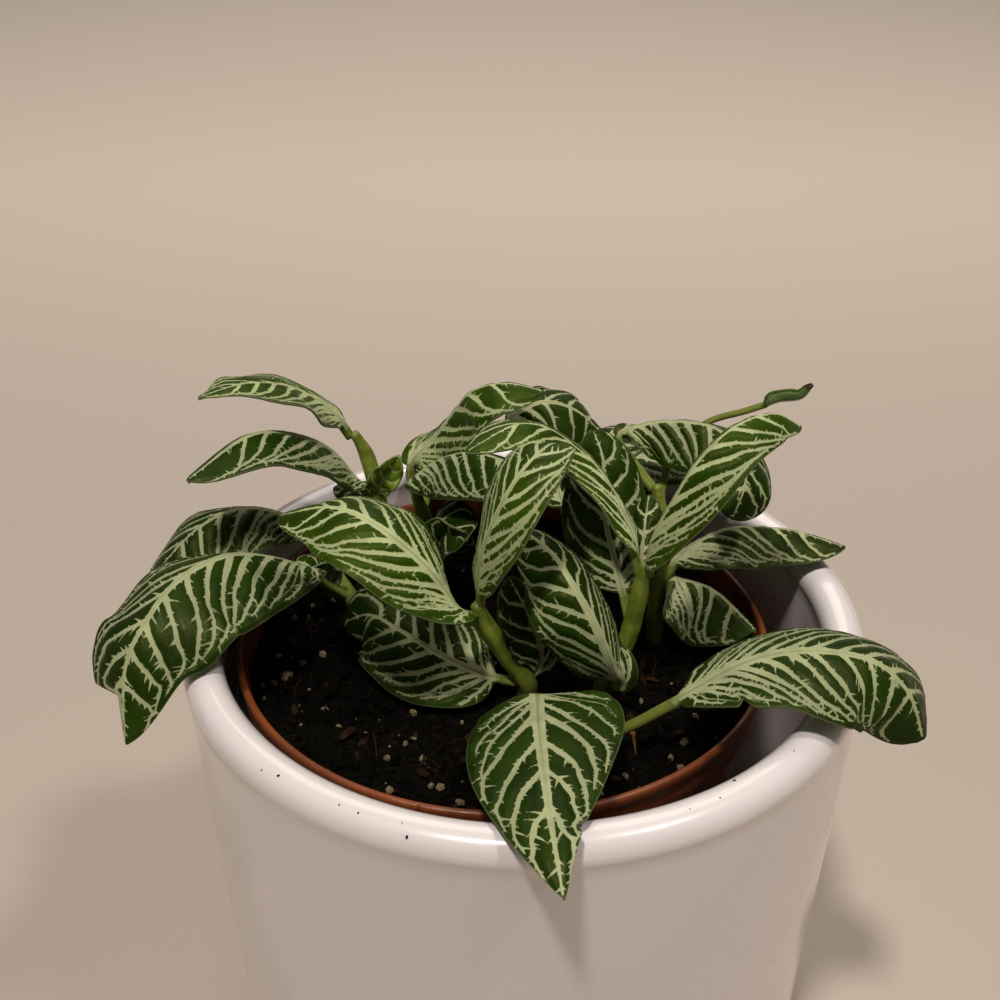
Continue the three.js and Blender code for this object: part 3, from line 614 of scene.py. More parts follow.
# %% A short way to write materials
class Nodes:
    """A short way to write a node tree: each call adds a node and links or sets its inputs."""

    def __init__(self, name):
        self.material = bpy.data.materials.new(name)
        self.material.use_nodes = True
        self.tree = self.material.node_tree
        self.shader = self.tree.nodes["Principled BSDF"]
        self.place = self.tree.nodes.new("ShaderNodeTexCoord").outputs["Object"]

    def put(self, socket, value):
        """Links a socket to another node's output, or sets it to a number or colour."""
        if isinstance(value, bpy.types.NodeSocket):
            self.tree.links.new(value, socket)
        elif isinstance(value, tuple) and len(value) == 3 and socket.type == "RGBA":
            socket.default_value = (*value, 1)
        else:
            socket.default_value = value

    def attribute(self, name):
        """The value stored at the points of the mesh under a name."""
        node = self.tree.nodes.new("ShaderNodeAttribute")
        node.attribute_name = name
        return node.outputs["Fac"]

    def math(self, operation, *values):
        """One arithmetic operation on up to three values."""
        node = self.tree.nodes.new("ShaderNodeMath")
        node.operation = operation
        for socket, value in zip(node.inputs, values):
            self.put(socket, value)
        return node.outputs[0]

    def ramp(self, value, low, high, start=0.0, end=1.0):
        """Maps low..high to start..end, smoothly and clamped."""
        node = self.tree.nodes.new("ShaderNodeMapRange")
        node.interpolation_type = "SMOOTHSTEP"
        for socket, number in zip(node.inputs, (value, low, high, start, end)):
            self.put(socket, number)
        return node.outputs[0]

    def mix(self, share, first, second):
        """A colour between first, at a share of 0, and second, at 1."""
        node = self.tree.nodes.new("ShaderNodeMix")
        node.data_type = "RGBA"
        self.put(node.inputs["Factor"], share)
        self.put(node.inputs[6], first)
        self.put(node.inputs[7], second)
        return node.outputs[2]

    def noise(self, scale, detail, roughness=0.5):
        """Cloudy values between 0 and 1 that change within about a metre divided by the scale."""
        node = self.tree.nodes.new("ShaderNodeTexNoise")
        self.put(node.inputs["Vector"], self.place)
        for key, value in (("Scale", scale), ("Detail", detail), ("Roughness", roughness)):
            self.put(node.inputs[key], value)
        return node.outputs["Fac"]

    def cells(self, scale):
        """The distance to the nearest of many scattered points."""
        node = self.tree.nodes.new("ShaderNodeTexVoronoi")
        self.put(node.inputs["Vector"], self.place)
        self.put(node.inputs["Scale"], scale)
        return node.outputs["Distance"]

    def bump(self, height, distance, strength):
        """Tilts the surface's shading by a height that stands for a distance in metres."""
        node = self.tree.nodes.new("ShaderNodeBump")
        self.put(node.inputs["Height"], height)
        self.put(node.inputs["Distance"], distance)
        self.put(node.inputs["Strength"], strength)
        self.put(self.shader.inputs["Normal"], node.outputs["Normal"])

    def finish(self, **sockets):
        """Sets or links the shader's own sockets and gives back the material."""
        for key, value in sockets.items():
            self.put(self.shader.inputs[key.replace("_", " ")], value)
        return self.material


print("materials are written with:", [name for name in vars(Nodes) if name[0] != "_"])

# %% [markdown]
# ## Finish of the leaves
# The upper side is a deep satin green with cream veins, yellower on young leaves. The veins' edges are
# ragged, the midrib has a fine brownish groove, a thin pale line runs round the margin, and the
# underside is paler. The distance to the veins comes from the leaf's own points, so the material only
# has to compare it with a little noise. A painted picture would blur sooner, and it isn't wanted here.

# %% Finish of the leaves
STALK_GREENS = (0.10, 0.135, 0.018), (0.20, 0.235, 0.05)
UNDER_GREEN, UNDER_VEIN = (0.12, 0.20, 0.07), (0.20, 0.26, 0.11)
GROOVE_BROWN, DRY_BROWN = (0.20, 0.15, 0.07), (0.035, 0.022, 0.010)


def shaded(colour, share):
    """A colour with each of its three values multiplied by a share."""
    return tuple(share * value for value in colour)


def leaf_finish(name, dark, light, cream, seed, dry_tip=0.0):
    """Green between dark and light by noise, cream where the distance to a vein is below nought, and
    brown at a dry tip."""
    n = Nodes(name)
    vein, main, under = n.attribute("vein"), n.attribute("main"), n.attribute("under")
    along, centre, margin = n.attribute("along"), n.attribute("centre"), n.attribute("margin")
    ragged = n.math("SUBTRACT", n.noise(900 + seed, 2), 0.5)
    edge = n.math("MULTIPLY_ADD", ragged, 0.30, vein)
    cover = n.ramp(edge, 0.09, -0.07)
    green = n.mix(n.ramp(n.noise(90 + seed, 3), 0.35, 0.7), dark, light)
    green = n.mix(n.ramp(main, 1.2, 0.0, 0, 0.35), green, light)
    green = n.mix(n.math("MULTIPLY", under, 0.75), green, UNDER_GREEN)
    warm = n.mix(n.ramp(n.noise(260 + seed, 2), 0.4, 0.7), cream, shaded(cream, 0.82))
    pale = n.mix(n.ramp(centre, 9.0, 1.0), shaded(cream, 0.72), warm)
    groove = n.math("MULTIPLY", n.ramp(centre, 0.42, 0.05), n.ramp(along, 0.95, 0.2))
    pale = n.mix(n.math("MULTIPLY", groove, 0.55), pale, GROOVE_BROWN)
    pale = n.mix(n.math("MULTIPLY", under, 0.6), pale, UNDER_VEIN)
    colour = n.mix(cover, green, pale)
    rim = n.math("MULTIPLY", n.ramp(margin, 0.26, 0.06), 0.45)
    colour = n.mix(rim, colour, shaded(cream, 0.5))
    stalk = n.ramp(along, 0.05, -0.06)
    colour = n.mix(stalk, colour, n.mix(n.noise(300, 3), *STALK_GREENS))
    colour = n.mix(n.ramp(along, 0.86, 0.93, 0, dry_tip), colour, DRY_BROWN)
    n.bump(n.math("ADD", n.noise(1500, 2), n.math("MULTIPLY", n.cells(1400), 0.6)), 0.0002, 0.2)
    return n.finish(Base_Color=colour, Roughness=n.ramp(n.noise(400, 2), 0.2, 0.8, 0.36, 0.50),
                    Specular_IOR_Level=0.13, Specular_Tint=(1.0, 1.0, 0.5))


LEAF = leaf_finish("leaf", (0.008, 0.021, 0.001), (0.017, 0.040, 0.002), (0.38, 0.42, 0.225), 0)
YOUNG_LEAF = leaf_finish("young_leaf", (0.015, 0.035, 0.001), (0.032, 0.068, 0.002),
                         (0.43, 0.49, 0.245), 7)
# Painted light: the sprout is light green, and its colours are raised about twice more, because its
# face turns down into its own shade.
SPROUT_PAINTED_LIGHT = leaf_finish("sprout_painted_light", (0.12, 0.22, 0.014), (0.24, 0.38, 0.030), (0.60, 0.68, 0.30), 13)
ROLLED = leaf_finish("rolled_leaf", (0.030, 0.065, 0.006), (0.07, 0.12, 0.012), (0.16, 0.21, 0.05),
                     19, dry_tip=0.9)
print("leaf materials:", LEAF.name, YOUNG_LEAF.name, SPROUT_PAINTED_LIGHT.name, ROLLED.name)

# %% [markdown]
# ## The leaves, one by one
# The uppermost leaves are younger, and so brighter and yellower, than the lower ones. One sprout is
# still light green, and its colour is painted brighter still, as painted light on a face that turns
# down into its own shade. One young leaf is rolled up with a dry tip. Leaves that the photograph
# doesn't show get wider steps in their mesh, which draws the thorns of their veins less sharply.

# %% The leaves, one by one
YOUNG = {"stem_front": [0, 1], "stem_centre": [1, 2], "stem_back_left": [0], "stem_back": [0],
         "stem_left": [2]}
SPROUTS = {"stem_back_left": [2]}
HIDDEN = {"stem_rear": [0, 1, 2, 3], "stem_back": [4]}
FINE, COARSE, FIRST_SEED = 0.28, 0.5, 100
number = 0
for node, stem in STEMS.items():
    for k, leaf in enumerate(stem["leaves"]):
        fineness = COARSE if k in HIDDEN.get(node, []) else FINE
        finish = YOUNG_LEAF if k in YOUNG.get(node, []) else LEAF
        finish = SPROUT_PAINTED_LIGHT if k in SPROUTS.get(node, []) else finish
        finish = ROLLED if "stout" in leaf else finish
        make_leaf(f"{node}_leaf_{k + 1}", node, leaf, k, FIRST_SEED + number, fineness, finish)
        number += 1

# %% [markdown]
# ## Stems
# The stems are juicy green rods with four blunt edges, a little thicker wherever a pair of leaves
# grows. A curve object with a bevel would give an even rod, so the tube is computed instead, and its
# radius changes along the path. Its foot goes down into the soil and its top thins out into the
# stalk of the last leaf.

# %% Stems
STEM_GREENS, STEM_BROWN = ((0.10, 0.145, 0.009), (0.21, 0.265, 0.028)), (0.05, 0.045, 0.015)
STEM_SIDES, STEM_STEP, ROOT_HEIGHTS = 24, 0.6, (95.3, 102, 109)


def stem_material():
    """Yellow-green with darker streaks, and browner towards the soil."""
    n = Nodes("stem")
    streaks = n.mix(n.ramp(n.noise(240, 4, 0.6), 0.35, 0.7), *STEM_GREENS)
    height = n.tree.nodes.new("ShaderNodeSeparateXYZ")
    n.put(height.inputs[0], n.place)
    colour = n.mix(n.ramp(height.outputs["Z"], 0.120, 0.108), streaks, STEM_BROWN)
    n.bump(n.noise(900, 3), 0.0003, 0.4)
    return n.finish(Base_Color=colour, Roughness=n.ramp(n.noise(500, 2), 0.3, 0.7, 0.42, 0.6))


STEM = stem_material()


def make_stem(node, stem):
    """A tube whose radius is the stem's own, times one plus a bell-shaped swelling at each joint. It
    falls by two fifths over the last 9 mm, and along a quarter circle at the very end. Cosines of four
    and seven waves a turn give it blunt edges."""
    foot = [[*stem["path"][0][:2], height] for height in ROOT_HEIGHTS]
    line, run = smooth_path(foot + stem["path"])
    place = np.append(np.arange(0, run[-1] / MM, STEM_STEP), run[-1] / MM)
    centre, ahead = along_path(line, run, place * MM)
    joints = np.array([leaf["spine"][0] for leaf in stem["leaves"]]) * MM
    joint_place = place[np.argmin(np.linalg.norm(centre[:, None] - joints, axis=2), axis=0)]
    swelling = np.exp(-((place[:, None] - joint_place) / 1.6) ** 2).max(1)
    narrowing = 1 - 0.4 * smooth_step(place[-1] - 9, place[-1], place)
    to_end = np.clip((place - place[-1] + 0.8) / 0.8, 0, 1)
    radius = stem["radius"] * (1 + 0.07 * swelling) * narrowing * np.sqrt(1 - 0.98 * to_end ** 2)
    angle = np.linspace(0, 2 * np.pi, STEM_SIDES, endpoint=False)
    ribs = 1 + 0.07 * np.cos(4 * angle) + 0.02 * np.cos(7 * angle + 1)
    points = tube_points(centre, ahead, [0.2, 1.0, 0.1], radius[:, None] * ribs * MM)
    return make_piece(node + "_rod", points, closed_tube(len(place), STEM_SIDES), STEM, node)


for node, stem in STEMS.items():
    make_stem(node, stem)
print("stems:", ", ".join(STEMS))

# %% [markdown]
# ## Turned pots
# Both pots are round, so each is a profile of radius and height, turned about its axis. A Screw
# modifier does the same. Working it out on a grid of turn and profile lets the rim waver by a tenth of
# a millimetre, as on a real pot, so that its highlights aren't perfect rings.

# %% Turned pots
def arc(radius, height, size, start, end, steps):
    """Points on a circle of a given size about (radius, height), angles from the outward direction."""
    angle = np.radians(np.linspace(start, end, steps + 1))
    return np.stack([radius + size * np.cos(angle), height + size * np.sin(angle)], 1)


def finer(profile, step):
    """The profile with extra points, so that no gap is longer than step."""
    parts = [np.linspace(a, b, max(1, int(np.ceil(np.linalg.norm(b - a) / step))), endpoint=False)
             for a, b in zip(profile[:-1], profile[1:])]
    return np.vstack(parts + [profile[-1:]])


def turned(name, profile, centre, turn, finish, node, waver, seam=None):
    """Turns a profile in mm, from the pole under the floor, outwards, up and back to the pole above
    the floor, through the given turns. waver moves the wall in and out by slow sines of the turn and
    height, and at the turn of a seam a bell-shaped groove is sunk into the outside of the rim."""
    r, z = profile[:, :1], profile[:, 1:]
    waves = np.sin(2 * turn + 1 + 0.01 * z) + 0.6 * np.sin(3 * turn + 0.02 * z) + 0.3 * np.sin(7 * turn)
    push = waver * smooth_step(8, 20, r) * waves
    if seam is not None:
        push = push - 0.45 * smooth_step(59.2, 60, r) * np.exp(-((turn - seam) / 0.004) ** 2)
    points = np.stack([centre[0] + (r + push) * np.cos(turn), centre[1] + (r + push) * np.sin(turn),
                       z + 0 * turn], -1) * MM
    return make_piece(name, points, closed_tube(len(profile), len(turn)), finish, node)


print("a quarter circle of 4 mm, made finer, has", len(finer(arc(70, 120, 4, 0, 90, 2), 0.5)), "points")

# %% [markdown]
# ## The glazed cover pot
# White glaze over ceramic is smooth and bright, with a warm tone, a few pin-sized specks, and slow
# waves where the glaze ran. Its clear top layer is a coat over a slightly rougher white.

# %% The glazed cover pot
def glaze_material():
    """White with a slow change of tone, rare brownish specks and a clear coat."""
    n = Nodes("glaze")
    tone = n.mix(n.ramp(n.noise(14, 3), 0.3, 0.7), (0.79, 0.748, 0.742), (0.75, 0.703, 0.692))
    speck = n.math("MULTIPLY", n.ramp(n.cells(150), 0.075, 0.05), n.ramp(n.noise(45, 1), 0.60, 0.66))
    colour = n.mix(n.math("MULTIPLY", speck, 0.6), tone, (0.30, 0.20, 0.12))
    n.bump(n.noise(9, 1), 0.0015, 0.04)
    return n.finish(Base_Color=colour, Roughness=n.ramp(n.noise(60, 3), 0.3, 0.7, 0.22, 0.32),
                    Coat_Weight=1.0, Coat_Roughness=0.08)


GLAZE = glaze_material()
LIP_RADIUS, LIP_HEIGHT, LIP_SIZE = 70.7, 120.7, 4.3
OUTER, INNER, TAPER = 74.5, 68.2, 0.0224 * LIP_HEIGHT
FLOOR_HEIGHT, CORNER = 6, 6
pot_profile = finer(np.vstack([
    [[2.0, 0]],
    arc(OUTER - TAPER - CORNER, CORNER, CORNER, -90, 0, 10),
    arc(LIP_RADIUS, LIP_HEIGHT, LIP_SIZE, -20, 200, 32),
    [[INNER - TAPER + 0.1, 16]],
    arc(INNER - TAPER - CORNER, FLOOR_HEIGHT + CORNER, CORNER, 0, -90, 10),
    [[2.0, FLOOR_HEIGHT]],
]), 3.0)
around = np.linspace(0, 2 * np.pi, 192, endpoint=False)
cover = turned("cover_pot_glazed", pot_profile, (0, 0), around, GLAZE, "cover_pot", 0.06)
print("cover pot:", len(cover.data.polygons), "faces")

# %% [markdown]
# ## The nursery pot
# It is moulded from thin terracotta-coloured plastic, with a deeper band round the rim and a small
# seam on it where the mould closed. It stands a little off the middle of the cover pot. Its profile
# has a point at every bend, because arcs would be finer than such a thin rim needs.

# %% The nursery pot
def plastic_material():
    """Terracotta plastic: warm brown-orange, faint flow marks, fine scuffs and a satin gloss."""
    n = Nodes("nursery_plastic")
    tone = n.mix(n.ramp(n.noise(60, 4), 0.3, 0.7), (0.23, 0.058, 0.012), (0.15, 0.036, 0.008))
    dusty = n.math("MULTIPLY", n.ramp(n.noise(400, 4, 0.7), 0.55, 0.75), 0.5)
    colour = n.mix(dusty, tone, (0.10, 0.045, 0.02))
    n.bump(n.noise(500, 3), 0.0002, 0.5)
    return n.finish(Base_Color=colour, Roughness=n.ramp(n.noise(300, 3), 0.3, 0.7, 0.32, 0.52))


PLASTIC = plastic_material()
NURSERY = (-4.4, 3.9)
nursery_profile = finer(np.array([
    [2.0, 6.3], [43.4, 6.3], [44.0, 6.8], [58.2, 105.5], [59.4, 105.6], [59.7, 106.0],
    [60.1, 111.9], [60.4, 112.3], [60.5, 113.9], [60.4, 114.4], [60.1, 114.7], [59.7, 114.78],
    [59.3, 114.7], [59.05, 114.4], [58.95, 113.9], [57.15, 105.7], [42.8, 7.9], [42.4, 7.5],
    [2.0, 7.5]]), 4.0)
SEAM_TURN = np.radians(254.7)
around = np.linspace(0, 2 * np.pi, 160, endpoint=False)
around = np.sort(np.append(around, SEAM_TURN + 0.003 * np.arange(-3, 4)))
nursery = turned("nursery_pot_moulded", nursery_profile, NURSERY, around, PLASTIC, "nursery_pot",
                 0.08, SEAM_TURN)

print("nursery pot:", len(nursery.data.polygons), "faces")

# %% [markdown]
# ## Drain holes
# Six round holes in the floor of the nursery pot let water out. They are cut by a Boolean modifier,
# whose result is applied, because a grid that had to follow six round holes would be hard to lay out.

# %% Drain holes
DRAINS, DRAIN_RADIUS, DRAIN_RING, PLUG_SIDES = 6, 4, 30, 24
turn = np.arange(DRAINS)[:, None] * 2 * np.pi / DRAINS
centres = np.array(NURSERY) + DRAIN_RING * np.hstack([np.cos(turn), np.sin(turn)])
angle = np.linspace(0, 2 * np.pi, PLUG_SIDES, endpoint=False)
plug = DRAIN_RADIUS * np.stack([np.cos(angle), np.sin(angle)], 1)
plugs, plug_faces = [], []
for k, middle in enumerate(centres):
    plugs += [np.column_stack([middle + plug, np.full(PLUG_SIDES, z)]) for z in (2.0, 12.0)]
    plug_faces += moved_on(closed_tube(2, PLUG_SIDES), 2 * PLUG_SIDES * k)
cutter_mesh = bpy.data.meshes.new("drain_cutter")
cutter_mesh.from_pydata((np.vstack(plugs) * MM).tolist(), [], plug_faces)
cutter = bpy.data.objects.new("drain_cutter", cutter_mesh)
scene.collection.objects.link(cutter)
cut = nursery.modifiers.new("drains", "BOOLEAN")
cut.object, cut.operation, cut.solver = cutter, "DIFFERENCE", "EXACT"
bpy.context.view_layer.update()
holed = bpy.data.meshes.new_from_object(nursery.evaluated_get(bpy.context.evaluated_depsgraph_get()))
nursery.modifiers.clear()
nursery.data = holed
bpy.data.objects.remove(cutter)
print(len(centres), "drain holes, nursery pot now has", len(nursery.data.polygons), "faces")

# %% [markdown]
# ## Soil
# Potting soil is a heap of dark crumbs. Its peat is painted darker than peat itself, as painted shade
# from the leaves above it. A displaced disc alone looks like a moon landscape, and thousands of loose
# crumbs alone would be too many, so there are both: a body whose top is a field of overlapping
# half-buried balls, and loose crumbs, pale perlite, bark chips and fibres lying on it.

# %% Finishes of the soil
def soil_material(name, colours, rough):
    """Dark crumbs: noise at two sizes mixes the colours, and damp spots shine a little."""
    n = Nodes(name)
    base = n.mix(n.ramp(n.noise(350, 5, 0.65), 0.35, 0.65), colours[0], colours[1])
    colour = n.mix(n.ramp(n.noise(1400, 3, 0.6), 0.55, 0.75), base, colours[2])
    n.bump(n.noise(2200, 5, 0.7), 0.0006, 0.9)
    return n.finish(Base_Color=colour, Roughness=n.ramp(n.noise(500, 3), 0.35, 0.65, *rough),
                    Specular_IOR_Level=0.05)


# Painted shade: the peat is dark by nature, and its colours are set far below real peat's, for the
# shadow the leaves cast on the soil and its crumbs.
PEAT_PAINTED_SHADE = soil_material("peat", [(0.0015, 0.0014, 0.0008), (0.004, 0.0034, 0.0020), (0.014, 0.010, 0.006)],
                     (0.7, 0.95))
PERLITE = soil_material("perlite", [(0.22, 0.18, 0.11), (0.15, 0.12, 0.06), (0.36, 0.32, 0.23)],
                        (0.75, 0.95))
BARK = soil_material("bark", [(0.016, 0.008, 0.004), (0.034, 0.017, 0.008), (0.008, 0.005, 0.003)],
                     (0.6, 0.9))
print("soil materials:", PEAT_PAINTED_SHADE.name, PERLITE.name, BARK.name)

# %% [markdown]
# ## The body of the soil
# The top is a height over each place: a gentle ground, and on it whichever half-buried ball stands
# highest there. A square grid is bent into a disc for it, so that no pole shows in the middle. Under
# its edge, rings follow the wall of the nursery pot down to the floor.

# %% The body of the soil
SOIL_RADIUS, SOIL_LEVEL, BALLS = 57.3, 108.6, 2600
random = np.random.default_rng(5)


def soil_height(x, y):
    """Height in mm at a place seen from the pot's own centre: slow sines, and on them the greatest of
    many half-buried balls."""
    height = SOIL_LEVEL + 0.7 * np.sin(0.16 * x + 0.8) * np.cos(0.19 * y)
    height = height + 0.5 * np.sin(0.31 * y - 0.2 * x)
    bump = np.full(x.shape, -0.8)
    for part in np.array_split(np.arange(len(balls)), 60):
        bx, by, size, sink = balls[part].T
        inside = size ** 2 - (x[..., None] - bx) ** 2 - (y[..., None] - by) ** 2
        bump = np.maximum(bump, (np.sqrt(np.maximum(inside, 0)) - sink - 0.8 * (inside < 0)).max(-1))
    return height + bump


def square_to_disc(a, b):
    """Bends a square grid into a disc. The greater of a and b gives the radius. The other one, as a
    share of it, times an eighth of a turn, gives the turn away from the nearer axis."""
    wide = np.abs(a) > np.abs(b)
    safe_a, safe_b = np.where(a == 0, 1e-9, a), np.where(b == 0, 1e-9, b)
    radius = SOIL_RADIUS * np.where(wide, a, b)
    turn = np.where(wide, np.pi / 4 * b / safe_a, np.pi / 2 - np.pi / 4 * a / safe_b)
    return radius * np.cos(turn), radius * np.sin(turn)


ball_radius = SOIL_RADIUS * np.sqrt(random.random(BALLS))
ball_turn = 2 * np.pi * random.random(BALLS)
ball_size = 0.8 + 2.4 * random.random(BALLS) ** 2.5
balls = np.stack([ball_radius * np.cos(ball_turn), ball_radius * np.sin(ball_turn), ball_size,
                  ball_size * random.uniform(0.2, 0.75, BALLS)], 1)
side = np.linspace(-1, 1, 171)
soil_x, soil_y = square_to_disc(*np.meshgrid(side, side, indexing="ij"))
soil_top = soil_height(soil_x, soil_y)
corner = np.arange(soil_x.size).reshape(soil_x.shape)
loop = np.concatenate([corner[:-1, 0], corner[-1, :-1], corner[:0:-1, -1], corner[0, :0:-1]])
wall_z = np.array([106, 100, 80, 60, 40, 20, 8.0])
wall_r = np.interp(wall_z, [8, 106], [42.2, 56.4])
ring_turn = np.arctan2(soil_y.ravel()[loop], soil_x.ravel()[loop])
rings = np.stack([wall_r[:, None] * np.cos(ring_turn), wall_r[:, None] * np.sin(ring_turn),
                  wall_z[:, None] + 0 * ring_turn], -1)
top_points = np.stack([soil_x, soil_y, soil_top], -1)
soil_points = np.vstack([top_points.reshape(-1, 3), rings.reshape(-1, 3)])
levels = np.vstack([loop, soil_x.size + np.arange(rings[..., 0].size).reshape(len(wall_z), -1)])
after = np.roll(levels, -1, axis=1)
soil_faces = (quads(corner[:-1, :-1], corner[1:, :-1], corner[1:, 1:], corner[:-1, 1:])
              + quads(levels[:-1], levels[1:], after[1:], after[:-1]) + [levels[-1, ::-1].tolist()])
make_piece("soil_body", (soil_points + [*NURSERY, 0]) * MM, soil_faces, PEAT_PAINTED_SHADE, "soil")
print("soil top from", round(soil_top.min(), 1), "to", round(soil_top.max(), 1), "mm")

# %% [markdown]
# ## Crumbs, perlite and bark
# The loose bits are all the same ball of twenty triangles, stretched, dented and turned at random.
# A particle system could scatter them, but plain arrays give one closed mesh that exports as it is.

# %% Crumbs, perlite and bark
GOLD = (1 + 5 ** 0.5) / 2
BALL = np.array([
    (-1, GOLD, 0), (1, GOLD, 0), (-1, -GOLD, 0), (1, -GOLD, 0), (0, -1, GOLD), (0, 1, GOLD),
    (0, -1, -GOLD), (0, 1, -GOLD), (GOLD, 0, -1), (GOLD, 0, 1), (-GOLD, 0, -1), (-GOLD, 0, 1),
]) / np.hypot(1, GOLD)
BALL_FACES = np.array([
    (0, 11, 5), (0, 5, 1), (0, 1, 7), (0, 7, 10), (0, 10, 11), (1, 5, 9), (5, 11, 4), (11, 10, 2),
    (10, 7, 6), (7, 1, 8), (3, 9, 4), (3, 4, 2), (3, 2, 6), (3, 6, 8), (3, 8, 9), (4, 9, 5),
    (2, 4, 11), (6, 2, 10), (8, 6, 7), (9, 8, 1)])


def bits(places, sizes, stretch, dents):
    """Balls at places (n, 3), scaled to sizes times stretch (n, 3), dented by a share of their radius,
    and turned by random rotations made from random unit quaternions."""
    n = len(places)
    shape = BALL[None] * (1 + dents * random.uniform(-1, 1, (n, 12, 1)))
    shape = shape * (sizes[:, None] * stretch)[:, None]
    w, x, y, z = random.normal(size=(4, n)) * np.array([1, 0.35, 0.35, 1])[:, None]
    w, x, y, z = np.stack([w, x, y, z]) / np.sqrt(w * w + x * x + y * y + z * z)
    turn = np.stack([
        np.stack([1 - 2 * (y * y + z * z), 2 * (x * y - w * z), 2 * (x * z + w * y)], -1),
        np.stack([2 * (x * y + w * z), 1 - 2 * (x * x + z * z), 2 * (y * z - w * x)], -1),
        np.stack([2 * (x * z - w * y), 2 * (y * z + w * x), 1 - 2 * (x * x + y * y)], -1)], 1)
    points = np.einsum("nij,nkj->nki", turn, shape) + places[:, None]
    faces = (BALL_FACES[None] + 12 * np.arange(n)[:, None, None]).reshape(-1, 3)
    return points.reshape(-1, 3), faces.tolist()


def on_soil(count, sink, sizes):
    """Random places on the soil, evenly spread over its disc, sunk by a share of each bit's size."""
    r = (SOIL_RADIUS - 0.8 - sizes) * np.sqrt(random.random(count))
    turn = 2 * np.pi * random.random(count)
    x, y = r * np.cos(turn), r * np.sin(turn)
    return np.stack([x, y, soil_height(x, y) - sink * sizes], 1) + [*NURSERY, 0]


LARGE_PERLITE = np.array([
    [-48.0, -14.1, 1.5], [-50.8, -14.8, 1.1], [-41.0, -6.1, 0.9], [-42.6, -17.6, 0.5],
    [-29.5, -18.9, 0.9], [-18.9, -31.6, 0.9], [-23.5, -39.8, 0.7], [-16.1, -40.3, 1.0],
    [-12.2, -48.5, 1.1], [-8.3, -51.5, 1.0], [36.6, -40.2, 1.1], [41.0, -28.3, 0.9],
    [50.6, 13.7, 1.3], [24.7, -45.8, 0.8], [34.8, -38.0, 0.7], [-44.0, -21.7, 0.5],
    [21.0, -36.0, 0.8], [30.0, -22.0, 0.7]])
for name, count, low, high, stretch, dents, finish in (
        ("soil_crumbs", 3400, 0.30, 1.3, (1.2, 1, 0.8), 0.30, PEAT_PAINTED_SHADE),
        ("soil_perlite", 260, 0.14, 1.1, (1.2, 1, 0.85), 0.16, PERLITE),
        ("soil_bark", 170, 0.7, 2.2, (1.5, 0.6, 0.32), 0.20, BARK)):
    sizes = low + (high - low) * random.random(count) ** 2.6
    places = on_soil(count, -0.15, sizes)
    if name == "soil_perlite":
        x, y, large = LARGE_PERLITE.T
        sizes[:len(large)] = large
        places[:len(large)] = np.stack([x, y, soil_height(x, y) + 0.2 * large], 1) + [*NURSERY, 0]
    shapes = np.array(stretch) * random.uniform(0.8, 1.2, (count, 3))
    points, faces = bits(places, sizes, shapes, dents)
    piece = make_piece(name, points * MM, faces, finish, "soil")
    piece.data.shade_flat()
    print(name, len(faces), "faces")

# %% [markdown]
# ## Fibres and other small things
# Thin roots and fibres lie on the soil, a dried bract hangs at the front, and a few specks of soil
# have been spilled on the cover pot's lip. Each fibre is a tube along a bent line.

# %% Fibres and other small things
FIBRES, FIBRE_RINGS, FIBRE_SIDES = 110, 9, 5


def fibre(start, heading, size, radius):
    """A tapering tube along an arc of a given size that starts at a place. Its heading changes evenly,
    and it rises over the soil as half a sine."""
    u = np.linspace(0, 1, FIBRE_RINGS)
    bend = heading + random.uniform(-1.2, 1.2) * u
    step = size / (FIBRE_RINGS - 1)
    x = start[0] + np.cumsum(np.cos(bend)) * step
    y = start[1] + np.cumsum(np.sin(bend)) * step
    inside = np.minimum(1, (SOIL_RADIUS - 1) / np.hypot(x, y))
    x, y = x * inside, y * inside
    z = soil_height(x, y) + 0.3 + random.uniform(0, 1.2) * np.sin(np.pi * u)
    line = np.stack([x, y, z], 1)
    reach = radius * (1 - 0.6 * u)[:, None] * np.ones(FIBRE_SIDES)
    return tube_points(line, np.gradient(line, axis=0), [0, 0, 1], reach)


DRY = soil_material("dry", [(0.16, 0.07, 0.02), (0.24, 0.12, 0.04), (0.30, 0.18, 0.08)], (0.6, 0.85))
fibre_points, fibre_faces = [], []
for k in range(FIBRES):
    r, turn = 50 * np.sqrt(random.random()), 2 * np.pi * random.random()
    start = np.array([r * np.cos(turn), r * np.sin(turn)])
    tube = fibre(start, 2 * np.pi * random.random(), random.uniform(4, 14), random.uniform(0.10, 0.24))
    fibre_points.append(tube.reshape(-1, 3))
    fibre_faces += moved_on(closed_tube(FIBRE_RINGS, FIBRE_SIDES), FIBRE_RINGS * FIBRE_SIDES * k)
make_piece("soil_fibres", (np.vstack(fibre_points) + [*NURSERY, 0]) * MM, fibre_faces, BARK, "soil")

lip_turn = np.radians([-131.7, -128.6, -117.4, -114.2, -107.6, -106.4, -56.6, -44.8, -60.9, -66.1])
lip_over = np.radians([52, 63, 68, 66, 73, 44, 113, 86, 82, 83])
on_lip = LIP_SIZE + 0.05
speck_r, speck_z = LIP_RADIUS + on_lip * np.cos(lip_over), LIP_HEIGHT + on_lip * np.sin(lip_over)
specks = np.stack([speck_r * np.cos(lip_turn), speck_r * np.sin(lip_turn), speck_z], 1)
speck_sizes = np.array([0.16, 0.28, 0.16, 0.18, 0.16, 0.30, 0.30, 0.16, 0.15, 0.15])
points, faces = bits(specks, speck_sizes, np.array([[1.2, 1, 0.6]]), 0.25)
make_piece("soil_on_lip", points * MM, faces, PEAT_PAINTED_SHADE, "soil").data.shade_flat()

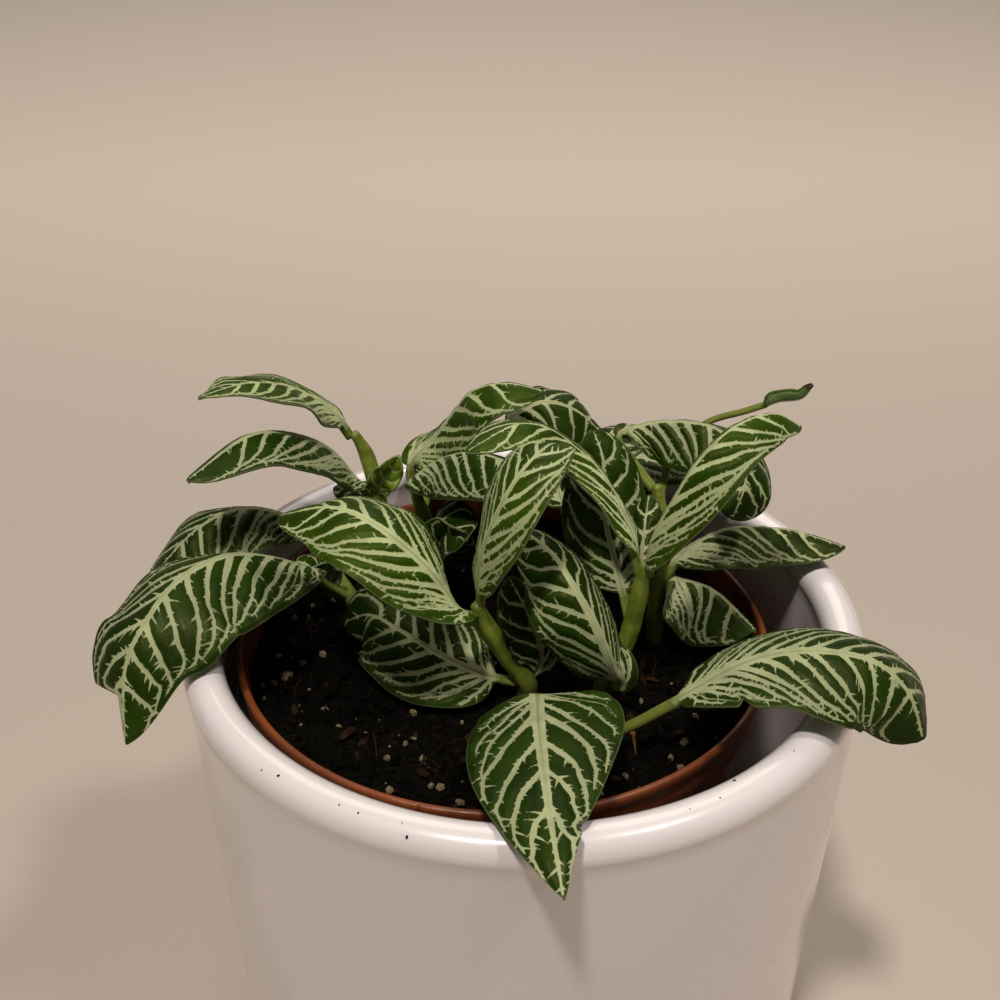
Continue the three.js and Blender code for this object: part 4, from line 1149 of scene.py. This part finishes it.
BRACT_RINGS, BRACT_SIDES = 8, 6
drop = np.linspace(0, 1, BRACT_RINGS)
bract_line = np.stack([22 + 1.0 * drop, -35.4 - 0.3 * drop, 116.8 - 7.0 * drop + 0.5 * drop ** 2], 1)
angle = 2 * np.pi * np.arange(BRACT_SIDES) / BRACT_SIDES
bract_ring = (0.42 * (1 - drop) ** 0.7 + 0.04)[:, None, None] * np.stack(
    [np.cos(angle), 0.45 * np.sin(angle), 0 * angle], -1)
make_piece("dried_bract", (bract_line[:, None] + bract_ring) * MM,
           closed_tube(BRACT_RINGS, BRACT_SIDES), DRY, "stem_front_low")
print("fibres and spilled crumbs made")

# %% [markdown]
# ## Floor and light
# The photograph was taken indoors under warm light from the upper left and front, with a weaker one
# from the right. Two area lamps as wide as a hand give shadows with such narrow soft edges, where a
# studio's large ones would wash them out. A third, large lamp lights the floor far behind, and the
# world adds a little light from all sides. The floor is pale, and its colour grows lighter far behind
# as painted light.

# %% Floor and light
def floor_material():
    """Pale warm beige, with a change of tone too slow to notice, and painted light that makes it
    lighter far behind.
    """
    n = Nodes("floor")
    near = n.mix(n.noise(0.8, 2), (0.46, 0.40, 0.34), (0.49, 0.425, 0.36))
    across = n.tree.nodes.new("ShaderNodeSeparateXYZ")
    n.put(across.inputs[0], n.place)
    # Painted light: the colour grows lighter from near to far behind, as if more light fell there.
    tone = n.mix(n.ramp(across.outputs["Y"], 0.15, 0.9), near, (0.74, 0.65, 0.55))
    return n.finish(Base_Color=tone, Roughness=0.8)


FLOOR_HALF, ROOM_STRENGTH = 8, 0.13
corners = FLOOR_HALF * np.array([[-1.0, -1, 0], [1, -1, 0], [1, 1, 0], [-1, 1, 0]])
floor_mesh = bpy.data.meshes.new("floor")
floor_mesh.from_pydata(corners.tolist(), [], [(0, 1, 2, 3)])
floor_mesh.materials.append(floor_material())
floor = bpy.data.objects.new("floor", floor_mesh)
scene.collection.objects.link(floor)


def area_lamp(name, place, target, size, watts, colour):
    """A square lamp at a place in metres that shines towards a target. Its z axis points away from
    the target, and its x axis is level."""
    data = bpy.data.lights.new(name, "AREA")
    data.size, data.energy, data.color = size, watts, colour
    lamp = bpy.data.objects.new(name, data)
    away = np.array(place) - np.array(target)
    away /= np.linalg.norm(away)
    side = np.cross([0, 0, 1], away)
    side /= np.linalg.norm(side)
    lamp.matrix_world = stand(side, np.cross(away, side), away, place)
    scene.collection.objects.link(lamp)


middle = (0, 0, 0.12)
area_lamp("key", (-0.24, -0.62, 1.80), middle, 0.16, 21, (1.0, 0.92, 0.86))
area_lamp("fill", (0.70, -0.30, 1.70), middle, 0.20, 10, (1.0, 0.92, 0.86))
area_lamp("room", (0.0, 2.0, 2.2), (0, 1.4, 0), 2.0, 22, (1.0, 0.92, 0.85))
world = bpy.data.worlds.new("room")
scene.world = world
world.use_nodes = True
background = world.node_tree.nodes["Background"].inputs
background["Color"].default_value = (1, 0.90, 0.81, 1)
background["Strength"].default_value = ROOM_STRENGTH
scene.view_settings.view_transform = "Standard"

# %% [markdown]
